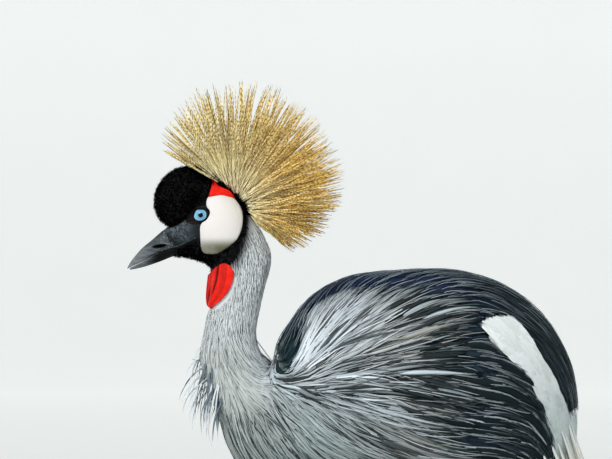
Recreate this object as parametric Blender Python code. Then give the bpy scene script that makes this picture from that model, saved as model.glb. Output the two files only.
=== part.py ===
"""A grey crowned crane, standing, life size, in metres with +Z up.

The bird faces -X and its left side is -Y. The neck and torso are one form, drawn by a front line, a back line
and a side line, and parted by thin cuts. Feathers, bristles and plumes are strips that follow that form.
"""

import math

import bmesh
import bpy
import numpy as np
from mathutils import Matrix, Vector
from mathutils.bvhtree import BVHTree

MM = 0.001
GAP = 0.3 * MM
SIDES = 20
LEFT, RIGHT = 1, -1
SIDE_NAMES = {LEFT: "left", RIGHT: "right"}

# Neck and torso, head end first: front (x, z), back (x, z), side (x, z) and half width, in millimetres.
BODY_STATIONS = [
    (-191, 647, -140, 695, -163, 673, 22),
    (-191, 621, -125, 659, -157, 642, 24),
    (-193, 597, -134, 617, -163, 607, 25),
    (-197, 576, -141, 578, -169, 577, 26),
    (-201, 555, -135, 555, -166, 552, 31),
    (-197, 538, -123, 543, -158, 532, 38),
    (-193, 527, -122, 551, -145, 515, 52),
    (-190, 516, -119, 568, -134, 502, 66),
    (-186, 505, -106, 588, -120, 492, 78),
    (-180, 488, -83, 616, -101, 485, 89),
    (-171, 459, -43, 637, -71, 488, 98),
    (-152, 428, 12, 644, -33, 494, 102),
    (-116, 401, 70, 644, 12, 498, 102),
    (-67, 382, 123, 628, 56, 496, 99),
    (-12, 372, 165, 595, 99, 485, 92),
    (43, 373, 191, 549, 135, 471, 79),
    (94, 382, 199, 505, 160, 452, 61),
    (134, 394, 198, 464, 176, 432, 40),
    (160, 407, 194, 432, 183, 420, 21),
]
NECK_TOP, NECK_SPLIT, NECK_BASE, TAIL_ROOT = 0.0, 2.6, 5.0, 18.0

# Head, from the bill's base to the first ring of the neck.
HEAD_STATIONS = [
    (-228.5, 659, -236.5, 689, -232.5, 674, 10),
    (-219, 658, -222, 712, -219, 682, 15.5),
    (-209, 656, -207, 740, -206, 692, 20),
    (-201, 653.5, -191, 746, -194, 694, 23),
    (-195.5, 651, -173, 736, -180, 690, 24.5),
    (-192.6, 648.8, -155, 718, -170, 683, 24),
    (-191, 647, -140, 695, -163, 673, 22),
]
CUSHION = {"centre": (-218, 0, 721), "radii": (31, 20.5, 36), "lean_deg": 30}
EYE = {"x": -198, "z": 702, "radius": 9.0, "sunk": 6.3, "lid_radius": 7.6, "lid_thick": 1.7}

# Bill: the mouth line divides it, and both halves start on the head's front face.
UPPER_BILL_STATIONS = [
    (-230.8, 667.8, -236.5, 689, 9.6),
    (-242.5, 664, -251.5, 676.2, 7.4),
    (-257.5, 655.5, -264, 665.2, 4.8),
    (-270, 649.5, -273, 654.4, 2.4),
    (-277, 645.9, -277.4, 647.2, 0.7),
]
LOWER_BILL_STATIONS = [
    (-228.5, 659, -230.7, 667.4, 8.8),
    (-242.5, 653.5, -242.5, 663.6, 6.4),
    (-257.5, 648.4, -257.5, 655.1, 4.0),
    (-269, 645.6, -269.5, 649.2, 1.9),
    (-274.5, 644.6, -274.6, 646.6, 0.7),
]
NOSTRIL = {"x": -243, "z": 669.5, "radii": (8, 2.6, 1.7), "slope_deg": 24}
GAPE = {"from": (-233, 668), "to": (-206, 678), "height": 0.8, "depth": 1.4}

CREST = {
    "centre": (-166, 0, 727),
    "reach": 119,
    "front_deg": 143,
    "rear_deg": -47,
    "spread_deg": 62,
    "bristles": 84,
    "thickness": 1.25,
    "seed": 7,
}
FOOT_X, FOOT_Y = 4, 46
FLOOR_FLAT = 0.7


def clear_scene():
    for thing in list(bpy.data.objects):
        bpy.data.objects.remove(thing)


def material(name, colour, roughness):
    made = bpy.data.materials.get(name) or bpy.data.materials.new(name)
    made.use_nodes = True
    shader = made.node_tree.nodes["Principled BSDF"]
    shader.inputs["Base Color"].default_value = (*colour, 1)
    shader.inputs["Roughness"].default_value = roughness
    return made


FINISHES = {
    "velvet_black": ((0.012, 0.012, 0.014), 0.9),
    "bill_slate": ((0.10, 0.12, 0.14), 0.45),
    "eye_blue": ((0.35, 0.62, 0.76), 0.1),
    "crest_gold": ((0.78, 0.60, 0.30), 0.6),
    "skin_white": ((0.88, 0.86, 0.84), 0.5),
    "skin_red": ((0.80, 0.06, 0.04), 0.5),
    "plume_grey": ((0.52, 0.56, 0.60), 0.7),
    "body_slate": ((0.30, 0.34, 0.38), 0.7),
    "covert_white": ((0.86, 0.87, 0.85), 0.6),
    "quill_black": ((0.03, 0.03, 0.035), 0.5),
    "leg_black": ((0.05, 0.05, 0.055), 0.5),
    "claw_black": ((0.03, 0.03, 0.03), 0.35),
}


def finish(thing, slot):
    thing.data.materials.clear()
    thing.data.materials.append(material(slot, *FINISHES[slot]))
    thing.data.shade_smooth()
    thing.data.set_sharp_from_angle(angle=math.radians(40))
    return thing


class Form:
    """A closed form between a front, a back and a side line. Angle 0 is the back line, pi the front line."""

    def __init__(self, stations):
        self.rows = np.array(stations, float) * MM
        self.last = len(self.rows) - 1

    def row(self, u):
        u = min(max(u, 0.0), self.last)
        i = min(int(u), self.last - 1)
        t = u - i
        before, here = self.rows[max(i - 1, 0)], self.rows[i]
        there, after = self.rows[i + 1], self.rows[min(i + 2, self.last)]
        m0, m1 = (there - before) / 2, (after - here) / 2
        t2, t3 = t * t, t * t * t
        return (
            (2 * t3 - 3 * t2 + 1) * here
            + (t3 - 2 * t2 + t) * m0
            + (3 * t2 - 2 * t3) * there
            + (t3 - t2) * m1
        )

    def skin(self, u, angle):
        front_x, front_z, back_x, back_z, side_x, side_z, width = self.row(u)
        middle_x, middle_z = (front_x + back_x) / 2, (front_z + back_z) / 2
        up, out = math.cos(angle), math.sin(angle)
        return Vector(
            (
                middle_x + up * (back_x - front_x) / 2 + out * out * (side_x - middle_x),
                -width * out,
                middle_z + up * (back_z - front_z) / 2 + out * out * (side_z - middle_z),
            )
        )

    def along(self, u, angle):
        step = 0.02
        low, high = max(u - step, 0), min(u + step, self.last)
        return (self.skin(high, angle) - self.skin(low, angle)) / (high - low)

    def normal(self, u, angle):
        round_it = self.skin(u, angle + 0.02) - self.skin(u, angle - 0.02)
        return round_it.cross(self.along(u, angle)).normalized()

    def point(self, u, angle, lift=0.0):
        return self.skin(u, angle) + self.normal(u, angle) * lift

    def axis(self, u):
        """Unit vector across the ring at u, towards the next ring."""
        row = self.row(u)
        across = Vector((row[2] - row[0], 0, row[3] - row[1])).cross(Vector((0, 1, 0)))
        ahead = self.middle(min(u + 0.1, self.last)) - self.middle(max(u - 0.1, 0))
        return across.normalized() * (1 if across.dot(ahead) > 0 else -1)

    def middle(self, u):
        row = self.row(u)
        return Vector(((row[0] + row[2]) / 2, 0, (row[1] + row[3]) / 2))


BODY = Form(BODY_STATIONS)
HEAD = Form(HEAD_STATIONS)


def solid(name, points, faces):
    """A mesh object whose faces point outwards."""
    mesh = bpy.data.meshes.new(name)
    mesh.from_pydata([tuple(p) for p in points], [], faces)
    work = bmesh.new()
    work.from_mesh(mesh)
    bmesh.ops.recalc_face_normals(work, faces=work.faces)
    if work.calc_volume(signed=True) < 0:
        bmesh.ops.reverse_faces(work, faces=work.faces)
    work.to_mesh(mesh)
    work.free()
    made = bpy.data.objects.new(name, mesh)
    bpy.context.scene.collection.objects.link(made)
    return made


def ringed(name, rings, closed_point=None):
    """A solid through rings of equal count, with a fan on each end."""
    count = len(rings[0])
    points = [p for ring in rings for p in ring]
    faces = []
    for i in range(len(rings) - 1):
        for j in range(count):
            a, b = i * count + j, i * count + (j + 1) % count
            faces += [(a, b, b + count), (a, b + count, a + count)]
    for first, ring in ((0, rings[0]), ((len(rings) - 1) * count, rings[-1])):
        if first and closed_point is not None:
            points.append(closed_point)
        else:
            points.append(sum((Vector(p) for p in ring), Vector()) / count)
        hub = len(points) - 1
        faces += [(first + j, first + (j + 1) % count, hub) for j in range(count)]
    return solid(name, points, faces)


def body_length(name, form, start, end, rings, lift=0.0, sides=SIDES):
    """A length of a form, each end drawn back by half the gap. A lifted one is a cutter, and reaches past them."""
    rows = []
    for i in range(rings + 1):
        u = start + (end - start) * i / rings
        shift = Vector()
        if i in (0, rings):
            back = GAP / 2 - 0.8 * lift
            shift = form.axis(u) * (back if i == 0 else -back)
        rows.append([form.point(u, 2 * math.pi * j / sides, lift) + shift for j in range(sides)])
    return ringed(name, rows)


def patch(name, form, place, sunk, steps):
    """A plate that hugs a form. place(t, v) gives the ring, angle and height of each point of its outer face."""
    along, across = steps
    outer, inner = [], []
    for i in range(along + 1):
        for j in range(across + 1):
            u, angle, lift = place(i / along, j / across)
            outer.append(form.point(u, angle, lift * MM))
            inner.append(form.point(u, angle, -sunk * MM))
    width = across + 1
    back = len(outer)
    faces = []
    for i in range(along):
        for j in range(across):
            a = i * width + j
            b, c, d = a + 1, a + width + 1, a + width
            faces += [(a, b, c), (a, c, d), (a + back, c + back, b + back), (a + back, d + back, c + back)]
    rim = (
        [j for j in range(across)]
        + [i * width + across for i in range(along)]
        + [along * width + j for j in range(across, 0, -1)]
        + [i * width for i in range(along, 0, -1)]
    )
    for a, b in zip(rim, rim[1:] + rim[:1]):
        faces += [(a, a + back, b + back), (a, b + back, b)]
    return solid(name, outer + inner, faces)


def mound(t, v):
    """Nought on a patch's rim, one at its middle."""
    return math.sin(math.pi * t) * math.sin(math.pi * v)


def strip(name, path, widths, thickness, corners=4):
    """A tapered strip along (point, normal) pairs: a thin vane on four corners, a bristle on three."""
    points, count = [], len(path) - 1
    for i in range(count):
        here, normal = path[i]
        ahead = path[i + 1][0] - path[max(i - 1, 0)][0]
        across = ahead.cross(normal).normalized() * widths[i] / 2
        up = across.cross(ahead).normalized() * thickness
        if up.dot(normal) < 0:
            up = -up
        if corners == 3:
            points += [here - across, here + up, here + across]
        else:
            points += [here - across, here + up / 2, here + across, here - up / 2]
    points.append(path[-1][0])
    tip = len(points) - 1
    faces = []
    for i in range(count - 1):
        for j in range(corners):
            a, b = i * corners + j, i * corners + (j + 1) % corners
            if corners == 3 or j % 2 == 0:
                faces += [(a, b, b + corners), (a, b + corners, a + corners)]
            else:
                faces += [(a, b, a + corners), (b, b + corners, a + corners)]
    last = (count - 1) * corners
    faces += [(last + j, last + (j + 1) % corners, tip) for j in range(corners)]
    faces += [(0, j, j + 1) for j in range(1, corners - 1)]
    return solid(name, points, faces)


def walk(form, u, angle, length, lifts, room):
    """A path over a form in the lie of the feathers, one point for each lift, and the widths that fit there.

    room is the angle free to one feather of a row.
    """
    path, widths = [], []
    step = length / (len(lifts) - 1)
    for lift in lifts:
        normal = form.normal(u, angle)
        path.append((form.skin(u, angle) + normal * lift, normal))
        widths.append((form.point(u, angle + room / 2, lift) - form.point(u, angle - room / 2, lift)).length)
        u += step / max(form.along(u, angle).length, 5 * MM)
    return path, widths


def swoop(root, control, tip, normals, steps):
    """A path on one smooth bend from root to tip, its normal turning from the first to the second."""
    path = []
    for i in range(steps + 1):
        t = i / steps
        here = root * (1 - t) ** 2 + control * 2 * t * (1 - t) + tip * t**2
        path.append((here, normals[0].lerp(normals[1], t).normalized()))
    return path


def group_of(name, things):
    group = bpy.data.collections.new(name)
    bpy.context.scene.collection.children.link(group)
    for thing in things:
        group.objects.link(thing)
    return group


def boolean(core, things, operation):
    """Joins or cuts a node by all the things at once, and removes them."""
    group = group_of(core.name + "_pieces", things)
    change = core.modifiers.new("pieces", "BOOLEAN")
    change.operand_type = "COLLECTION"
    change.collection = group
    change.operation = operation
    change.solver = "MANIFOLD"
    bpy.context.view_layer.objects.active = core
    bpy.ops.object.modifier_apply(modifier=change.name)
    for thing in things:
        bpy.data.objects.remove(thing)
    bpy.data.collections.remove(group)
    keep_largest(core)
    return core


def fuse(core, pieces):
    return boolean(core, pieces, "UNION")


def carve(core, cutters):
    return boolean(core, cutters, "DIFFERENCE")


def keep_largest(thing):
    """Keeps a node's largest closed surface, which drops loose scraps and fills sealed hollows."""
    work = bmesh.new()
    work.from_mesh(thing.data)
    bmesh.ops.triangulate(work, faces=work.faces)
    left, shells = set(work.faces), []
    while left:
        seed = left.pop()
        shell, front = {seed}, [seed]
        while front:
            face = front.pop()
            for edge in face.edges:
                for other in edge.link_faces:
                    if other in left:
                        left.remove(other)
                        shell.add(other)
                        front.append(other)
        shells.append(shell)
    size = {id(s): abs(sum(volume_of(f) for f in s)) for s in shells}
    shells.sort(key=lambda s: size[id(s)])
    loose = [f for s in shells[:-1] for f in s]
    bmesh.ops.delete(work, geom=loose, context="FACES")
    work.to_mesh(thing.data)
    work.free()


def volume_of(face):
    a, b, c = (v.co for v in face.verts)
    return a.dot(b.cross(c)) / 6


def ellipsoid(name, centre, radii, turn=None, segments=14, rings=8):
    bpy.ops.mesh.primitive_uv_sphere_add(segments=segments, ring_count=rings, radius=1)
    made = bpy.context.object
    made.name = name
    place = Matrix.Translation(Vector(centre) * MM) @ (turn or Matrix.Identity(4))
    made.data.transform(place @ Matrix.Diagonal((*(r * MM for r in radii), 1)))
    return made


def tube(name, points, radii, sides=12, flat=1.0):
    """A round limb through points in millimetres, each ring square to the limb."""
    line = [Vector(p) * MM for p in points]
    rings = []
    for i, here in enumerate(line):
        ahead = (line[min(i + 1, len(line) - 1)] - line[max(i - 1, 0)]).normalized()
        side = ahead.cross(Vector((0, 1, 0)) if abs(ahead.y) < 0.7 else Vector((0, 0, 1))).normalized()
        across = ahead.cross(side).normalized()
        ring = []
        for j in range(sides):
            a = 2 * math.pi * j / sides
            ring.append(here + (side * math.cos(a) * flat + across * math.sin(a)) * radii[i] * MM)
        rings.append(ring)
    return ringed(name, rings)


def at_side(side, x, y, z):
    return Vector((x, -side * y, z)) * MM


def bill_form(stations, towards_mouth):
    """A mandible: its widest line lies near the mouth, so that its cutting edge is sharp."""
    rows = []
    for low_x, low_z, high_x, high_z, width in stations:
        share = 0.5 - 0.3 * towards_mouth
        rows.append(
            (
                low_x,
                low_z,
                high_x,
                high_z,
                low_x + (high_x - low_x) * share,
                low_z + (high_z - low_z) * share,
                width,
            )
        )
    return Form(rows)


def make_bill():
    upper = body_length("bill_upper", bill_form(UPPER_BILL_STATIONS, 1), 0, 4, 7, sides=12)
    slope = Matrix.Rotation(math.radians(-NOSTRIL["slope_deg"]), 4, "Y")
    tree = BVHTree.FromObject(upper, bpy.context.evaluated_depsgraph_get())
    slots = []
    for side in (LEFT, RIGHT):
        start = at_side(side, NOSTRIL["x"], 60, NOSTRIL["z"])
        hit = tree.ray_cast(start, Vector((0, side, 0)))[0]
        slots.append(ellipsoid("nostril", hit / MM, NOSTRIL["radii"], slope, 10, 6))
    carve(upper, slots)
    lower = body_length("bill_lower", bill_form(LOWER_BILL_STATIONS, -1), 0, 4, 5, sides=12)
    finish(upper, "bill_slate")
    finish(lower, "bill_slate")


def head_core(lift=0.0):
    return body_length("head", HEAD, 0, 6, 10, lift)


def cushion(lift=0.0):
    lean = Matrix.Rotation(math.radians(CUSHION["lean_deg"]), 4, "Y")
    radii = [r + lift / MM for r in CUSHION["radii"]]
    return ellipsoid("cushion", CUSHION["centre"], radii, lean, 16, 12)


def make_head():
    head = fuse(head_core(), [cushion()])
    tree = BVHTree.FromObject(head, bpy.context.evaluated_depsgraph_get())
    lids, sockets = [], []
    for side in (LEFT, RIGHT):
        start = at_side(side, EYE["x"], 90, EYE["z"])
        hit, normal = tree.ray_cast(start, Vector((0, side, 0)))[:2]
        normal = (normal + Vector((0, -side, 0))).normalized()
        centre = hit - normal * EYE["sunk"] * MM
        bpy.ops.mesh.primitive_torus_add(
            major_radius=EYE["lid_radius"] * MM,
            minor_radius=EYE["lid_thick"] * MM,
            major_segments=14,
            minor_segments=5,
        )
        lid = bpy.context.object
        lid.data.transform(Matrix.Translation(hit) @ normal.to_track_quat("Z", "X").to_matrix().to_4x4())
        lids.append(lid)
        sockets.append(ellipsoid("socket", centre / MM, [EYE["radius"] + GAP / MM] * 3))
        finish(ellipsoid("eye_" + SIDE_NAMES[side], centre / MM, [EYE["radius"]] * 3), "eye_blue")
    fuse(head, lids)
    gapes = []
    (x0, z0), (x1, z1) = GAPE["from"], GAPE["to"]
    slope = Matrix.Rotation(math.atan2(z1 - z0, x0 - x1) + math.pi, 4, "Y")
    for side in (LEFT, RIGHT):
        middle = at_side(side, (x0 + x1) / 2, 60, (z0 + z1) / 2)
        hit = tree.ray_cast(middle, Vector((0, side, 0)))[0]
        radii = (math.dist(GAPE["from"], GAPE["to"]) / 2, GAPE["depth"], GAPE["height"])
        lean = Matrix.Rotation(-side * 0.2, 4, "Z") @ slope
        gapes.append(ellipsoid("gape", hit / MM, radii, lean, 10, 6))
    carve(head, sockets + gapes)
    finish(head, "velvet_black")


def cheek_place(side):
    """The bare cheek: a tall oval behind and below the eye, cut short at the top by the red brow."""

    def place(t, v):
        around = 2 * t - 1
        reach = 47 * (1 - 0.94 * around * around) ** 0.5
        middle = 96 - 26 * t
        low, high = max(middle - reach, 46), middle + reach
        u = 2.5 + 3.45 * t + 0.5 * (v - 0.5) * (1 - t)
        return u, side * math.radians(low + (high - low) * v), 0.7 + 1.4 * mound(t, v)

    return place


def brow_place(side):
    def place(t, v):
        top = 26 + 9 * t
        return 2.8 + 2.0 * t, side * math.radians(top + (44.6 - top) * v), 0.7 + 0.6 * mound(t, v)

    return place


def make_face():
    """The bare white cheeks and the red patches above them."""
    for side in (LEFT, RIGHT):
        name = SIDE_NAMES[side]
        cheek = patch("cheek_" + name, HEAD, cheek_place(side), 2.5, (7, 6))
        reach = math.hypot(EYE["lid_radius"], EYE["sunk"]) + EYE["lid_thick"] + 0.5
        socket = ellipsoid("socket", eye_centre(side), [reach] * 3)
        finish(carve(cheek, [head_core(GAP), cushion(GAP), socket]), "skin_white")
        red = patch("brow_" + name, HEAD, brow_place(side), 2.5, (4, 3))
        finish(carve(red, [head_core(GAP), cushion(GAP)]), "skin_red")


def eye_centre(side):
    box = bpy.data.objects["eye_" + SIDE_NAMES[side]]
    corners = [Vector(v.co) for v in box.data.vertices]
    return sum(corners, Vector()) / len(corners) / MM


def make_crest():
    """Stiff bristles fanning from a raised patch of scalp behind the crown."""
    draw = np.random.default_rng(CREST["seed"])
    scalp = patch(
        "crest",
        HEAD,
        lambda t, v: (3.7 + 2.05 * t, math.radians(42 * v - 21), 1.0 + 2.6 * mound(t, v)),
        2.5,
        (8, 6),
    )
    centre = Vector(CREST["centre"]) * MM
    bristles = []
    total = CREST["bristles"]
    for i in range(total):
        share = (i + 0.5) / total
        open_share = share**0.8
        tilt = CREST["rear_deg"] + (CREST["front_deg"] - CREST["rear_deg"]) * open_share
        aside = (i * 0.618034 % 1 - 0.5) * 2
        aside = math.copysign(abs(aside) ** 1.15, aside)
        a, b = math.radians(tilt), math.radians(aside * CREST["spread_deg"])
        way = Vector((math.cos(a) * math.cos(b), -math.sin(b), math.sin(a) * math.cos(b)))
        short = 1 - 0.28 * abs(2 * open_share - 1) ** 4
        reach = CREST["reach"] * MM * short * (1 - 0.1 * draw.random())
        root = HEAD.point(5.6 - 1.75 * open_share, math.radians(aside * 16), 0.2 * MM)
        tip = centre + way * reach
        bend = root.lerp(tip, 0.5) + way.orthogonal().normalized() * 1.5 * MM
        path = swoop(root, bend, tip, (way.orthogonal(), way.orthogonal()), 2)
        wide = CREST["thickness"] * MM * 1.6
        bristles.append(strip("bristle", path, (wide, wide * 0.8), CREST["thickness"] * MM, 3))
    finish(carve(fuse(scalp, bristles), [head_core(GAP), cushion(GAP)]), "crest_gold")


def make_wattle():
    """The bare red throat pouch, folded lengthwise and fullest at its lower end."""

    def place(t, v):
        s = 2 * v - 1
        top, bottom = 0.15 + 0.75 * abs(s) ** 1.5, 1.68 - 0.3 * s * s
        angle = math.pi + s * math.radians(84 - 42 * t**2.6)
        rim = math.sin(math.pi * min(max(v, 0.04), 0.96)) ** 0.5
        fold = 0.6 * math.cos(3 * math.pi * s)
        full = math.sin(math.pi * min(0.12 + 0.8 * t, 1))
        return top + (bottom - top) * t, angle, 1.2 + (2.2 + 3.0 * t**2 + fold) * rim * full

    wattle = patch("wattle", BODY, place, 2.5, (8, 12))
    carve(wattle, [neck_core(GAP)])
    finish(wattle, "skin_red")


def neck_core(lift=0.0):
    return body_length("neck_upper", BODY, NECK_TOP, NECK_SPLIT, 7, lift)


def make_neck():
    finish(neck_core(), "plume_grey")
    lower = body_length("neck_lower", BODY, NECK_SPLIT, NECK_BASE, 7)
    plumes = []
    rows = ((3.2, 4, 50, 52), (3.9, 5, 52, 62), (4.6, 5, 50, 72))
    draw = np.random.default_rng(3)
    for u, count, spread, length in rows:
        for k in range(count):
            share = (k + 0.5) / count * 2 - 1
            angle = math.pi + math.radians(spread * share)
            root = BODY.point(u, angle, -4 * MM)
            normal = BODY.normal(u, angle)
            long = length * MM * (0.85 + 0.3 * draw.random())
            droop = Vector((-0.08 + 0.14 * draw.random(), -0.25 * math.sin(angle), -1)).normalized()
            out = (12 + 14 * draw.random()) * MM
            control = root + normal * out - Vector((0, 0, 0.4 * long))
            path = swoop(root, control, root + normal * out * 0.9 + droop * long, (normal, normal), 3)
            widths = [f * 9 * MM for f in (0.8, 1, 0.7)]
            plumes.append(strip("plume", path, widths, 2 * MM))
    finish(carve(fuse(lower, plumes), [torso_core(GAP)]), "plume_grey")


def torso_core(lift=0.0):
    return body_length("torso", BODY, NECK_BASE, TAIL_ROOT, 22, lift)


# Rows of cape feathers: ring, count on a side, first and last angle in degrees, length in millimetres.
CAPE_ROWS = [
    (5.4, 3, 2, 132, 60),
    (7.3, 4, 4, 150, 72),
    (9.0, 4, 2, 176, 76),
    (10.2, 4, 6, 164, 76),
    (11.3, 4, 3, 160, 74),
    (12.5, 2, 2, 22, 66),
    (13.5, 2, 2, 20, 62),
    (12.3, 2, 106, 158, 70),
    (13.5, 2, 122, 160, 64),
    (14.7, 2, 128, 166, 56),
]


def over_thigh(place):
    x, y, z = place / MM
    return -30 < x < 72 and abs(y) < 84 and z < 412


def make_torso():
    torso = torso_core()
    locks = []
    draw = np.random.default_rng(11)
    for u, count, first, last, length in CAPE_ROWS:
        step = math.radians(last - first) / count
        for side in (LEFT, RIGHT):
            for k in range(count):
                angle = side * (math.radians(first) + step * (k + 0.5))
                long = length * MM * (0.94 + 0.12 * draw.random())
                path, room = walk(BODY, u, angle, long, [h * MM for h in (-4, 3, 5.5, 7)], step)
                widths = [r * f for r, f in zip(room, (0.6, 0.72, 0.5))]
                if not any(over_thigh(place) for place, _ in path):
                    locks.append(strip("lock", path, widths, 2.6 * MM))
    neck = body_length("neck", BODY, NECK_SPLIT, NECK_BASE, 7, GAP)
    finish(carve(fuse(torso, locks), [neck]), "body_slate")


WING = {
    "u": (12.7, 17.5),
    "top_deg": (31, 26, 16, 12, 16),
    "low_deg": (96, 108, 118, 122, 118),
    "thick": 4.0,
}


def wing_edge(name, t):
    return float(np.interp(t, np.linspace(0, 1, 5), WING[name]))


def wing_root(side, t, v, lift):
    """A place on the folded wing: t from its front edge to the rump, v from the back down to the flank."""
    u = WING["u"][0] + (WING["u"][1] - WING["u"][0]) * t
    angle = side * math.radians(wing_edge("top_deg", t) + (wing_edge("low_deg", t) - wing_edge("top_deg", t)) * v)
    return BODY.point(u, angle, lift * MM), BODY.normal(u, angle)


def make_wing(side):
    name = "wing_" + SIDE_NAMES[side]

    def place(t, v):
        u = WING["u"][0] + (WING["u"][1] - WING["u"][0]) * t
        angle = wing_edge("top_deg", t) + (wing_edge("low_deg", t) - wing_edge("top_deg", t)) * v
        return u, side * math.radians(angle), 1.0 + WING["thick"] * min(1, 4 * t) * math.sin(math.pi * v) ** 0.4

    plate = patch(name, BODY, place, 3, (10, 8))
    carve(plate, [torso_core(GAP)])
    vanes = []
    # Coverts lie in tiers down the folded wing.
    for t, count, length in ((0.16, 3, 60), (0.38, 4, 56), (0.6, 3, 50)):
        u = WING["u"][0] + (WING["u"][1] - WING["u"][0]) * t
        top, low = (math.radians(wing_edge(k, t)) for k in ("top_deg", "low_deg"))
        room = 0.86 * (low - top) / count
        for k in range(count):
            angle = side * (top + (low - top) * 0.07 + room * (k + 0.5))
            path, spare = walk(BODY, u, angle, length * MM, [h * MM for h in (1.5, 7, 9.5, 11)], room)
            widths = [r * f for r, f in zip(spare, (0.6, 0.82, 0.7))]
            vanes.append(strip("covert", path, widths, 1.8 * MM))
    # Long feathers hang past the rump: primaries inmost, then tertials, then the loose plumes over them.
    tiers = (
        {"count": 3, "t": 0.92, "v": (0.35, 0.9), "tip": ((240, 18, 232), (228, 48, 258)), "lift": 1.8, "wide": 20},
        {"count": 5, "t": 0.84, "v": (0.14, 0.92), "tip": ((280, 19, 226), (215, 66, 300)), "lift": 3.2, "wide": 27},
        {"count": 5, "t": 0.70, "v": (0.16, 0.92), "tip": ((262, 22, 300), (178, 84, 330)), "lift": 4.2, "wide": 13},
    )
    for tier in tiers:
        for k in range(tier["count"]):
            share = (k + 0.5) / tier["count"]
            v = tier["v"][0] + (tier["v"][1] - tier["v"][0]) * share
            root, normal = wing_root(side, tier["t"], v, tier["lift"])
            low, high = (at_side(side, *p) for p in tier["tip"])
            tip = low.lerp(high, share)
            flow = BODY.along(WING["u"][0] + (WING["u"][1] - WING["u"][0]) * tier["t"], side * 0.9).normalized()
            control = root + (flow * 0.25 + normal * 0.16) * (tip - root).length
            control.z -= 0.12 * (tip - root).length
            outward = Vector((0.9 - 0.7 * share, -side * (0.45 + 0.55 * share), 0.25)).normalized()
            path = swoop(root, control, tip, (normal, outward), 4)
            wide = tier["wide"] * MM
            vanes.append(
                strip("vane", path, [wide * f for f in (0.6, 1, 1, 0.75)], 1.3 * MM)
            )
    finish(fuse(plate, vanes), "covert_white")


TAIL = {"count": 9, "length": 200, "width": 24, "thick": 1.2, "layer": 1.7, "fan": 0.1}


def make_tail():
    """The rump's end and twelve tail feathers, stacked as a folded fan."""
    rings = []
    axis = Vector((0.16, 0, -0.987)).normalized()
    start = BODY.middle(TAIL_ROOT)
    base_ring = [BODY.skin(TAIL_ROOT, 2 * math.pi * j / SIDES) for j in range(SIDES)]
    first = BODY.axis(TAIL_ROOT) * GAP / 2
    for reach, share in ((0, 1.0), (10, 0.92), (22, 0.72), (34, 0.42)):
        shift = first if reach == 0 else first + axis * reach * MM
        rings.append([start + (p - start) * share + shift for p in base_ring])
    tail = ringed("tail", rings)
    feathers = []
    above = Vector((0.987, 0, 0.16))
    for k in range(TAIL["count"]):
        share = (k + 1) // 2 / (TAIL["count"] // 2) * (1 if k % 2 else -1)
        root = start + axis * 8 * MM + Vector((0, 9 * share, 0)) * MM
        root += above * (TAIL["count"] / 2 - k) * TAIL["layer"] * MM
        long = TAIL["length"] * MM * (1 - 0.08 * abs(share))
        tip = root + (axis + Vector((0, TAIL["fan"] * share, 0))).normalized() * long
        control = root.lerp(tip, 0.45) + above * 6 * MM
        path = swoop(root, control, tip, (above, above), 4)
        widths = [TAIL["width"] * f * MM for f in (0.45, 0.9, 1, 0.85)]
        feathers.append(strip("quill", path, widths, TAIL["thick"] * MM))
    finish(fuse(tail, feathers), "quill_black")


LEG = {"hip": (22, 40, 430), "thigh_end": (22, 42, 290), "ankle": (26, 45, 214), "sole": 15}
TOES = (
    {"name": "middle", "turn_deg": 0, "length": 86, "radius": 5.4},
    {"name": "inner", "turn_deg": 36, "length": 60, "radius": 5.0},
    {"name": "outer", "turn_deg": -33, "length": 66, "radius": 5.0},
    {"name": "hind", "turn_deg": 172, "length": 34, "radius": 4.6},
)
CLAW_LENGTH = 15


def make_leg(side):
    name = SIDE_NAMES[side]
    hip, end, ankle = (Vector(LEG[k]) for k in ("hip", "thigh_end", "ankle"))
    foot = Vector((FOOT_X, FOOT_Y, LEG["sole"]))
    half = GAP / MM / 2

    def line(*points):
        return [(p[0], -side * p[1], p[2]) for p in points]

    down = Vector((0, 0, 1))
    thigh = tube(
        "thigh_" + name,
        line(hip, hip.lerp(end, 0.35), hip.lerp(end, 0.7), end + down * 8, end + down * half),
        (34, 30, 20, 12.5, 11.5),
        16,
    )
    finish(carve(thigh, [torso_core(GAP)]), "body_slate")
    shin = tube(
        "shin_" + name,
        line(
            end - down * half,
            end - down * 5,
            end.lerp(ankle, 0.6),
            ankle + down * 12,
            ankle + down * 3,
            ankle + down * half,
        ),
        (8.2, 7.8, 6.8, 8.6, 10.5, 10.5),
    )
    finish(shin, "leg_black")
    tarsus = tube(
        "tarsus_" + name,
        line(
            ankle - down * half,
            ankle - down * 4,
            ankle.lerp(foot, 0.1),
            ankle.lerp(foot, 0.5),
            ankle.lerp(foot, 0.84),
            foot + down * 8,
            foot + down * half,
        ),
        (10.5, 10, 6.6, 5.8, 6.4, 8.6, 9.0),
    )
    finish(tarsus, "leg_black")
    make_foot(side, foot)


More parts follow.
